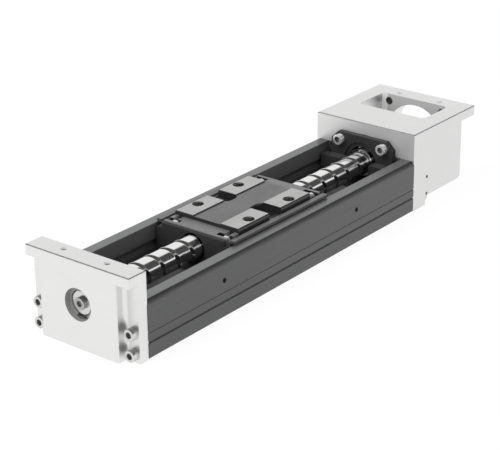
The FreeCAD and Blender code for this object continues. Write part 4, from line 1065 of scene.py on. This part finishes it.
def solids_of(node):
    """The lowest and highest corners of each separate solid of a CAD node."""
    work = bmesh.new()
    work.from_mesh(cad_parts[node].data)
    bmesh.ops.remove_doubles(work, verts=work.verts[:], dist=TINY)
    left = set(work.verts)
    boxes = []
    while left:
        reach = [left.pop()]
        solid = []
        while reach:
            vert = reach.pop()
            solid.append(vert.co.copy())
            for edge in vert.link_edges:
                other = edge.other_vert(vert)
                if other in left:
                    left.remove(other)
                    reach.append(other)
        boxes.append(tuple(Vector([pick(co[axis] for co in solid) for axis in range(3)])
                           for pick in (min, max)))
    work.free()
    return sorted(boxes, key=lambda corners: tuple(corners[0]))


# The camera's sensor in millimetres and its nearest distance in metres, the floor's half width and drop
# in metres, and how light the floor is in its shadows, by its own glow and to other rays
SENSOR_WIDTH = 36.0
CLIP_START = 0.01
FLOOR_REACH = 6.0
FLOOR_DROP = 0.2 * MM
FLOOR_SEEN = 0.08
FLOOR_GLOW = 0.94
FLOOR_BOUNCE = 0.8

# Each lamp: its name, the setting of its power, its place, the point that it aims at, its width and its
# height, in metres
LAMPS = (
    ("key_lamp", "key", (-0.9, 0.35, 1.1), (0.0, 0.0, 0.02), 0.9, 0.9),
    ("side_lamp", "side", (0.2, -1.3, 0.5), (0.03, 0.0, 0.02), 1.0, 0.4),
)


def add_camera(stage):
    """The camera at the photograph's viewing angle."""
    turn, lift = stage.azimuth, stage.elevation
    back = Vector((math.sin(turn) * math.cos(lift), -math.cos(turn) * math.cos(lift), math.sin(lift)))
    right = Vector((math.cos(turn), math.sin(turn), 0.0))
    up = back.cross(right)
    tilted_right = right * math.cos(stage.roll) + up * math.sin(stage.roll)
    tilted_up = up * math.cos(stage.roll) - right * math.sin(stage.roll)
    data = bpy.data.cameras.new("camera")
    data.lens = stage.lens
    data.sensor_width = SENSOR_WIDTH
    data.sensor_fit = "HORIZONTAL"
    data.clip_start = CLIP_START
    camera = link_object("camera", data)
    axes = Matrix((tilted_right, tilted_up, back)).transposed().to_4x4()
    camera.matrix_world = Matrix.Translation(Vector(stage.target) + back * stage.distance) @ axes
    bpy.context.scene.camera = camera


def add_floor():
    """A pale floor that shows white and keeps a faint shadow."""
    corners = [(-1, -1), (1, -1), (1, 1), (-1, 1)]
    mesh = bpy.data.meshes.new("floor")
    mesh.from_pydata([(x * FLOOR_REACH, y * FLOOR_REACH, -FLOOR_DROP) for x, y in corners], [],
                     [(0, 1, 2, 3)])
    floor = link_object("floor", mesh)
    material = bpy.data.materials.new("pale_floor")
    material.use_nodes = True
    nodes = Nodes(material.node_tree)
    nodes.tree.nodes.clear()
    rays = nodes.rays()
    shadowed = nodes.add("ShaderNodeBsdfDiffuse", {"Color": grey(FLOOR_SEEN)})
    white = nodes.add("ShaderNodeEmission", {"Color": grey(1.0), "Strength": FLOOR_GLOW})
    lit = nodes.add("ShaderNodeAddShader", {0: shadowed.outputs[0], 1: white.outputs[0]})
    plain = nodes.add("ShaderNodeBsdfDiffuse", {"Color": grey(FLOOR_BOUNCE)})
    seen = nodes.most(nodes.most(rays["Is Camera Ray"], rays["Is Glossy Ray"]), rays["Is Transmission Ray"])
    nodes.add("ShaderNodeOutputMaterial", {
        "Surface": nodes.choose(seen, plain.outputs[0], lit.outputs[0])})
    mesh.materials.append(material)


def add_world(stage):
    """White surroundings; reflections see a bright low band, a bright back wall and a dark ceiling."""
    world = bpy.data.worlds.new("studio")
    bpy.context.scene.world = world
    world.use_nodes = True
    nodes = Nodes(world.node_tree)
    nodes.tree.nodes.clear()
    rays = nodes.rays()
    way = nodes.split(nodes.add("ShaderNodeTexCoord").outputs["Generated"])
    bright = bright_sky(nodes, way)
    over_camera = nodes.minus(1.0, nodes.soft_step(way["X"], *OVER_CAMERA))
    ceiling = nodes.remap(over_camera, stage.ceiling, stage.front_ceiling)
    level = nodes.plus(nodes.times(bright, stage.wall), nodes.times(nodes.minus(1.0, bright), ceiling))

    def background(tone, strength):
        return nodes.add("ShaderNodeBackground", {"Color": tone, "Strength": strength}).outputs[0]

    shiny = nodes.most(rays["Is Glossy Ray"], rays["Is Transmission Ray"])
    lighting = nodes.choose(shiny, background(grey(1.0), stage.fill), background(level, 1.0))
    nodes.add("ShaderNodeOutputWorld", {
        "Surface": nodes.choose(rays["Is Camera Ray"], lighting, background(grey(1.0), 1.0))})
    world.cycles.sampling_method = "NONE"


def add_lamps(stage):
    """Two large soft lamps: one over the free end, one low on the near side."""
    for name, power, place, aim, wide, high in LAMPS:
        data = bpy.data.lights.new(name, "AREA")
        data.shape = "RECTANGLE"
        data.size = wide
        data.size_y = high
        data.energy = getattr(stage, power)
        lamp = link_object(name, data)
        lamp.location = place
        lamp.rotation_euler = (Vector(aim) - Vector(place)).to_track_quat("-Z", "Y").to_euler()
        lamp.visible_camera = False
        lamp.visible_glossy = False


class SLIDE_OT_stage(bpy.types.Operator):
    """Adds the camera, the pale floor, the white surroundings and the lamps"""
    bl_idname = "slide.stage"
    bl_label = "Studio stage"

    def execute(self, context):
        stage = settings().stage
        add_camera(stage)
        add_floor()
        add_world(stage)
        add_lamps(stage)
        context.scene.view_settings.view_transform = "Standard"
        return {"FINISHED"}


class SLIDE_OT_rail(bpy.types.Operator):
    """Gives the guide rail its blackened, ground finish"""
    bl_idname = "slide.rail"
    bl_label = "Guide rail"

    def execute(self, context):
        dress(["guide_rail"], "blackened_rail")
        return {"FINISHED"}


class SLIDE_OT_ends(bpy.types.Operator):
    """Gives the end plate and the motor flange their aluminium finish"""
    bl_idname = "slide.ends"
    bl_label = "End plate and motor flange"

    def execute(self, context):
        dress(["end_plate", "motor_flange"], "blasted_aluminium")
        return {"FINISHED"}


class SLIDE_OT_bearings(bpy.types.Operator):
    """Gives the bearing housing, the bearings and what clamps them their finishes"""
    bl_idname = "slide.bearings"
    bl_label = "Bearings and housing"

    def execute(self, context):
        dress(["bearing_housing", "bearing_retainer", "bearing_lock_nut"], "black_housing")
        dress(["drive_bearing_balls", "support_bearing_balls", "left_guide_balls", "right_guide_balls",
               "screw_balls", "thread_collar"], "polished_steel")
        dress(["drive_bearing_inner_rings", "drive_bearing_outer_rings", "support_bearing_inner_ring",
               "support_bearing_outer_ring", "support_bearing_shield", "lock_nut_spacer"],
              "bearing_steel_ring")
        dress(["end_washer"], "plated_steel")
        dress(["support_circlip"], "spring_steel")
        return {"FINISHED"}


class SLIDE_OT_carriage(bpy.types.Operator):
    """Gives the carriage block its black finish and bright pads"""
    bl_idname = "slide.carriage"
    bl_label = "Carriage block"

    def execute(self, context):
        dress(["carriage_block"], "carriage_steel_finish")
        return {"FINISHED"}


class SLIDE_OT_seals(bpy.types.Operator):
    """Gives the end caps, seals, strips and bumpers their finishes"""
    bl_idname = "slide.seals"
    bl_label = "Caps, seals and bumpers"

    def execute(self, context):
        dress(["near_end_cap", "drive_end_cap"], "grey_plastic")
        dress(["near_end_seal", "drive_end_seal", "near_bumper", "drive_end_bumper"], "black_rubber")
        dress(["left_seal_carrier", "right_seal_carrier", "left_seal_lip", "right_seal_lip"], "steel_strip")
        return {"FINISHED"}


# The angle in degrees from which the ball screw's edges stay sharp, and as shares of a radius the depth
# of a drilled point and the last small ring that closes an end
THREAD_CREASE = 30.0
DRILL_POINT = 0.5
LAST_RING = 0.1


class SLIDE_OT_ball_screw(bpy.types.Operator):
    """Makes the ball screw: helical ball track, lands, necks, journals and drive end"""
    bl_idname = "slide.ball_screw"
    bl_label = "Ball screw"

    def execute(self, context):
        screw = settings().screw
        low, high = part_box("ball_screw")
        mesh = grown_mesh("ball_screw_thread", [], shared_tree("ball_track_thread"), {
            "Crest": screw.crest, "Groove": screw.groove, "Ball Circle": screw.ball_circle,
            "Lead": screw.lead, "Start": screw.start, "Finish": screw.finish,
            "Track Begin": screw.track_begin, "Lip": screw.lip, "Axis Height": screw.axis,
            "Material": finish_of("polished_steel")})
        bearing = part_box("support_bearing_inner_ring")[1].x
        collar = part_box("thread_collar")[0].x
        edge, drive, journal, hole = screw.edge, screw.drive, screw.journal, screw.bolt_hole
        hole_end = low.x + screw.bolt_depth
        turn_ends(mesh, screw.axis, [
            (screw.start, [(screw.start, screw.root), (bearing, screw.root), (bearing, journal),
                           (low.x + edge, journal), (low.x, journal - edge), (low.x, hole),
                           (hole_end, hole), (hole_end + hole * DRILL_POINT, hole * LAST_RING)]),
            (screw.finish, [(screw.finish, screw.root), (collar, screw.root), (collar, journal),
                            (screw.drive_start - edge, journal), (screw.drive_start, journal - edge),
                            (screw.drive_start, drive), (high.x - edge, drive), (high.x, drive - edge),
                            (high.x, drive * LAST_RING)])])
        smooth(mesh, THREAD_CREASE)
        add_piece("ball_screw_turned", mesh, "screw", "ground_steel", ["ball_screw"])
        return {"FINISHED"}


# Each group of socket screws: the node that it stands for, its body, its finish, the end that its heads
# face, the head's diameter and height, the shank's diameter, and the hexagon's width across flats and its
# depth, in millimetres
SCREW_GROUPS = (
    ("end_plate_screws", "frame", "plated_steel", -1, 5.5, 3.0, 3.0, 2.5, 1.6),
    ("motor_flange_screws", "frame", "plated_steel", 1, 5.5, 3.0, 3.0, 2.5, 1.6),
    ("bearing_housing_screws", "frame", "nickel_steel", -1, 5.5, 3.0, 3.0, 2.5, 1.6),
    ("near_cap_screws", "carriage", "bright_steel", -1, 4.5, 2.5, 2.5, 2.0, 1.3),
    ("drive_cap_screws", "carriage", "bright_steel", 1, 4.5, 2.5, 2.5, 2.0, 1.3),
    ("screw_end_bolt", "screw", "bearing_steel_ring", -1, 5.8, 1.7, 4.0, 2.5, 1.1),
)


class SLIDE_OT_socket_screws(bpy.types.Operator):
    """Makes every group of socket head screws, one piece for each group"""
    bl_idname = "slide.socket_screws"
    bl_label = "Socket screws"

    def execute(self, context):
        tree = shared_tree("screw_pattern")
        for node, body, finish, facing, head, height, shank, flats, depth in SCREW_GROUPS:
            boxes = solids_of(node)
            reach = (boxes[0][1].x - boxes[0][0].x) - height * MM
            shape = link_object(node + "_shape", socket_screw_mesh(
                node + "_shape", head * MM / 2, height * MM, shank * MM / 2, reach, flats * MM / 2,
                depth * MM))
            points = [((low.x if facing < 0 else high.x), (low.y + high.y) / 2, (low.z + high.z) / 2)
                      for low, high in boxes]
            mesh = grown_mesh(node + "_turned", points, tree, {
                "Screw": shape, "Turn": 0.0 if facing < 0 else HALF_TURN, "Material": finish_of(finish),
                "Socket Material": finish_of("dark_socket")})
            bpy.data.objects.remove(shape)
            add_piece(node + "_turned", mesh, body, "screw_steel", [node])
        return {"FINISHED"}


# Each set of tapped holes: name, body, record slot, finish, hole diameter, pitch, depth, the direction
# out of the hole, and the holes' mouths, in millimetres
TAPPED_HOLES = (
    # The pad holes' threads take the lighter bearing steel finish: painted light inside the holes in place
    # of the block's black steel
    ("pad_hole_threads", "carriage", "carriage_steel", "bearing_steel_ring", 5.0, 0.8, 7.2, "up",
     [(CARRIAGE_MIDDLE + along, across, PAD_HOLE_MOUTH)
      for along in both_ways(PAD_HOLES_HALF) for across in both_ways(PAD_HOLES_HALF)]),
    ("end_lip_threads", "frame", "aluminium", "blasted_aluminium", 3.0, 0.5, 2.2, "up",
     [(END_LIP_HOLES, across, LIP_THREAD_MOUTH) for across in both_ways(LIP_HOLES_HALF)]),
    ("flange_lip_threads", "frame", "aluminium", "blasted_aluminium", 3.0, 0.5, 2.2, "up",
     [(FLANGE_LIP_HOLES, across, LIP_THREAD_MOUTH) for across in both_ways(LIP_HOLES_HALF)]),
    # The motor holes' threads take the dark socket finish: painted shade in place of the flange's aluminium
    ("motor_hole_threads", "frame", "aluminium", "dark_socket", 4.2, 0.8, 10.4, "out",
     [(MOTOR_HOLE_MOUTH, across, AXIS_HEIGHT + up)
      for across in both_ways(MOTOR_HOLES_HALF) for up in both_ways(MOTOR_HOLES_HALF)]),
    ("right_side_threads", "frame", "rail_steel", "blackened_rail", 2.5, 0.45, 4.4, "right",
     [(along, -SIDE_HOLE_MOUTH, SIDE_HOLE_HEIGHT) for along in both_ways(SIDE_HOLES_HALF)]),
    ("left_side_threads", "frame", "rail_steel", "blackened_rail", 2.5, 0.45, 4.4, "left",
     [(along, SIDE_HOLE_MOUTH, SIDE_HOLE_HEIGHT) for along in both_ways(SIDE_HOLES_HALF)]),
)
TILTS = {"up": (HALF_TURN, 0.0, 0.0), "out": (0.0, -QUARTER_TURN, 0.0),
         "right": (-QUARTER_TURN, 0.0, 0.0), "left": (QUARTER_TURN, 0.0, 0.0)}


class SLIDE_OT_tapped_threads(bpy.types.Operator):
    """Makes the thread ridges in the tapped holes of carriage, rail and both ends"""
    bl_idname = "slide.tapped_threads"
    bl_label = "Tapped threads"

    def execute(self, context):
        tree = shared_tree("tapped_thread")
        share = settings().fasteners.ridge
        for name, body, slot, finish, hole, pitch, depth, way, mouths in TAPPED_HOLES:
            points = [(x * MM, y * MM, z * MM) for x, y, z in mouths]
            mesh = grown_mesh(name, points, tree, {
                "Radius": hole * MM / 2, "Pitch": pitch * MM, "Depth": depth * MM,
                "Ridge": share * pitch * MM, "Tilt": TILTS[way], "Material": finish_of(finish)})
            add_piece(name, mesh, body, slot)
        return {"FINISHED"}


OPERATORS = (SLIDE_OT_stage, SLIDE_OT_rail, SLIDE_OT_ends, SLIDE_OT_bearings, SLIDE_OT_carriage,
             SLIDE_OT_seals, SLIDE_OT_ball_screw, SLIDE_OT_socket_screws, SLIDE_OT_tapped_threads)


class SLIDE_PT_pieces(bpy.types.Panel):
    """Lists the slide's pieces and settings in the sidebar"""
    bl_idname = "SLIDE_PT_pieces"
    bl_label = "Linear slide"
    bl_space_type = "VIEW_3D"
    bl_region_type = "UI"
    bl_category = "Slide"

    def draw(self, context):
        for operator in OPERATORS:
            self.layout.operator(operator.bl_idname)
        for group in ("stage", "screw", "fasteners", "finishes"):
            values = getattr(settings(), group)
            for name in values.bl_rna.properties.keys():
                if name not in ("rna_type", "name"):
                    self.layout.prop(values, name)


CLASSES = (SlideStage, SlideScrew, SlideFasteners, SlideFinishes, SlideSettings) + OPERATORS + (
    SLIDE_PT_pieces,)


def register():
    """Makes the classes and the scene's settings known."""
    for item in CLASSES:
        bpy.utils.register_class(item)
    bpy.types.Scene.linear_slide = bpy.props.PointerProperty(type=SlideSettings)


def unregister():
    """Takes the classes and the settings away again."""
    del bpy.types.Scene.linear_slide
    for item in reversed(CLASSES):
        bpy.utils.unregister_class(item)


def main():
    """Builds every piece in order."""
    register()
    for operator in OPERATORS:
        group, name = operator.bl_idname.split(".")
        getattr(getattr(bpy.ops, group), name)()


if __name__ == "__main__":
    main()
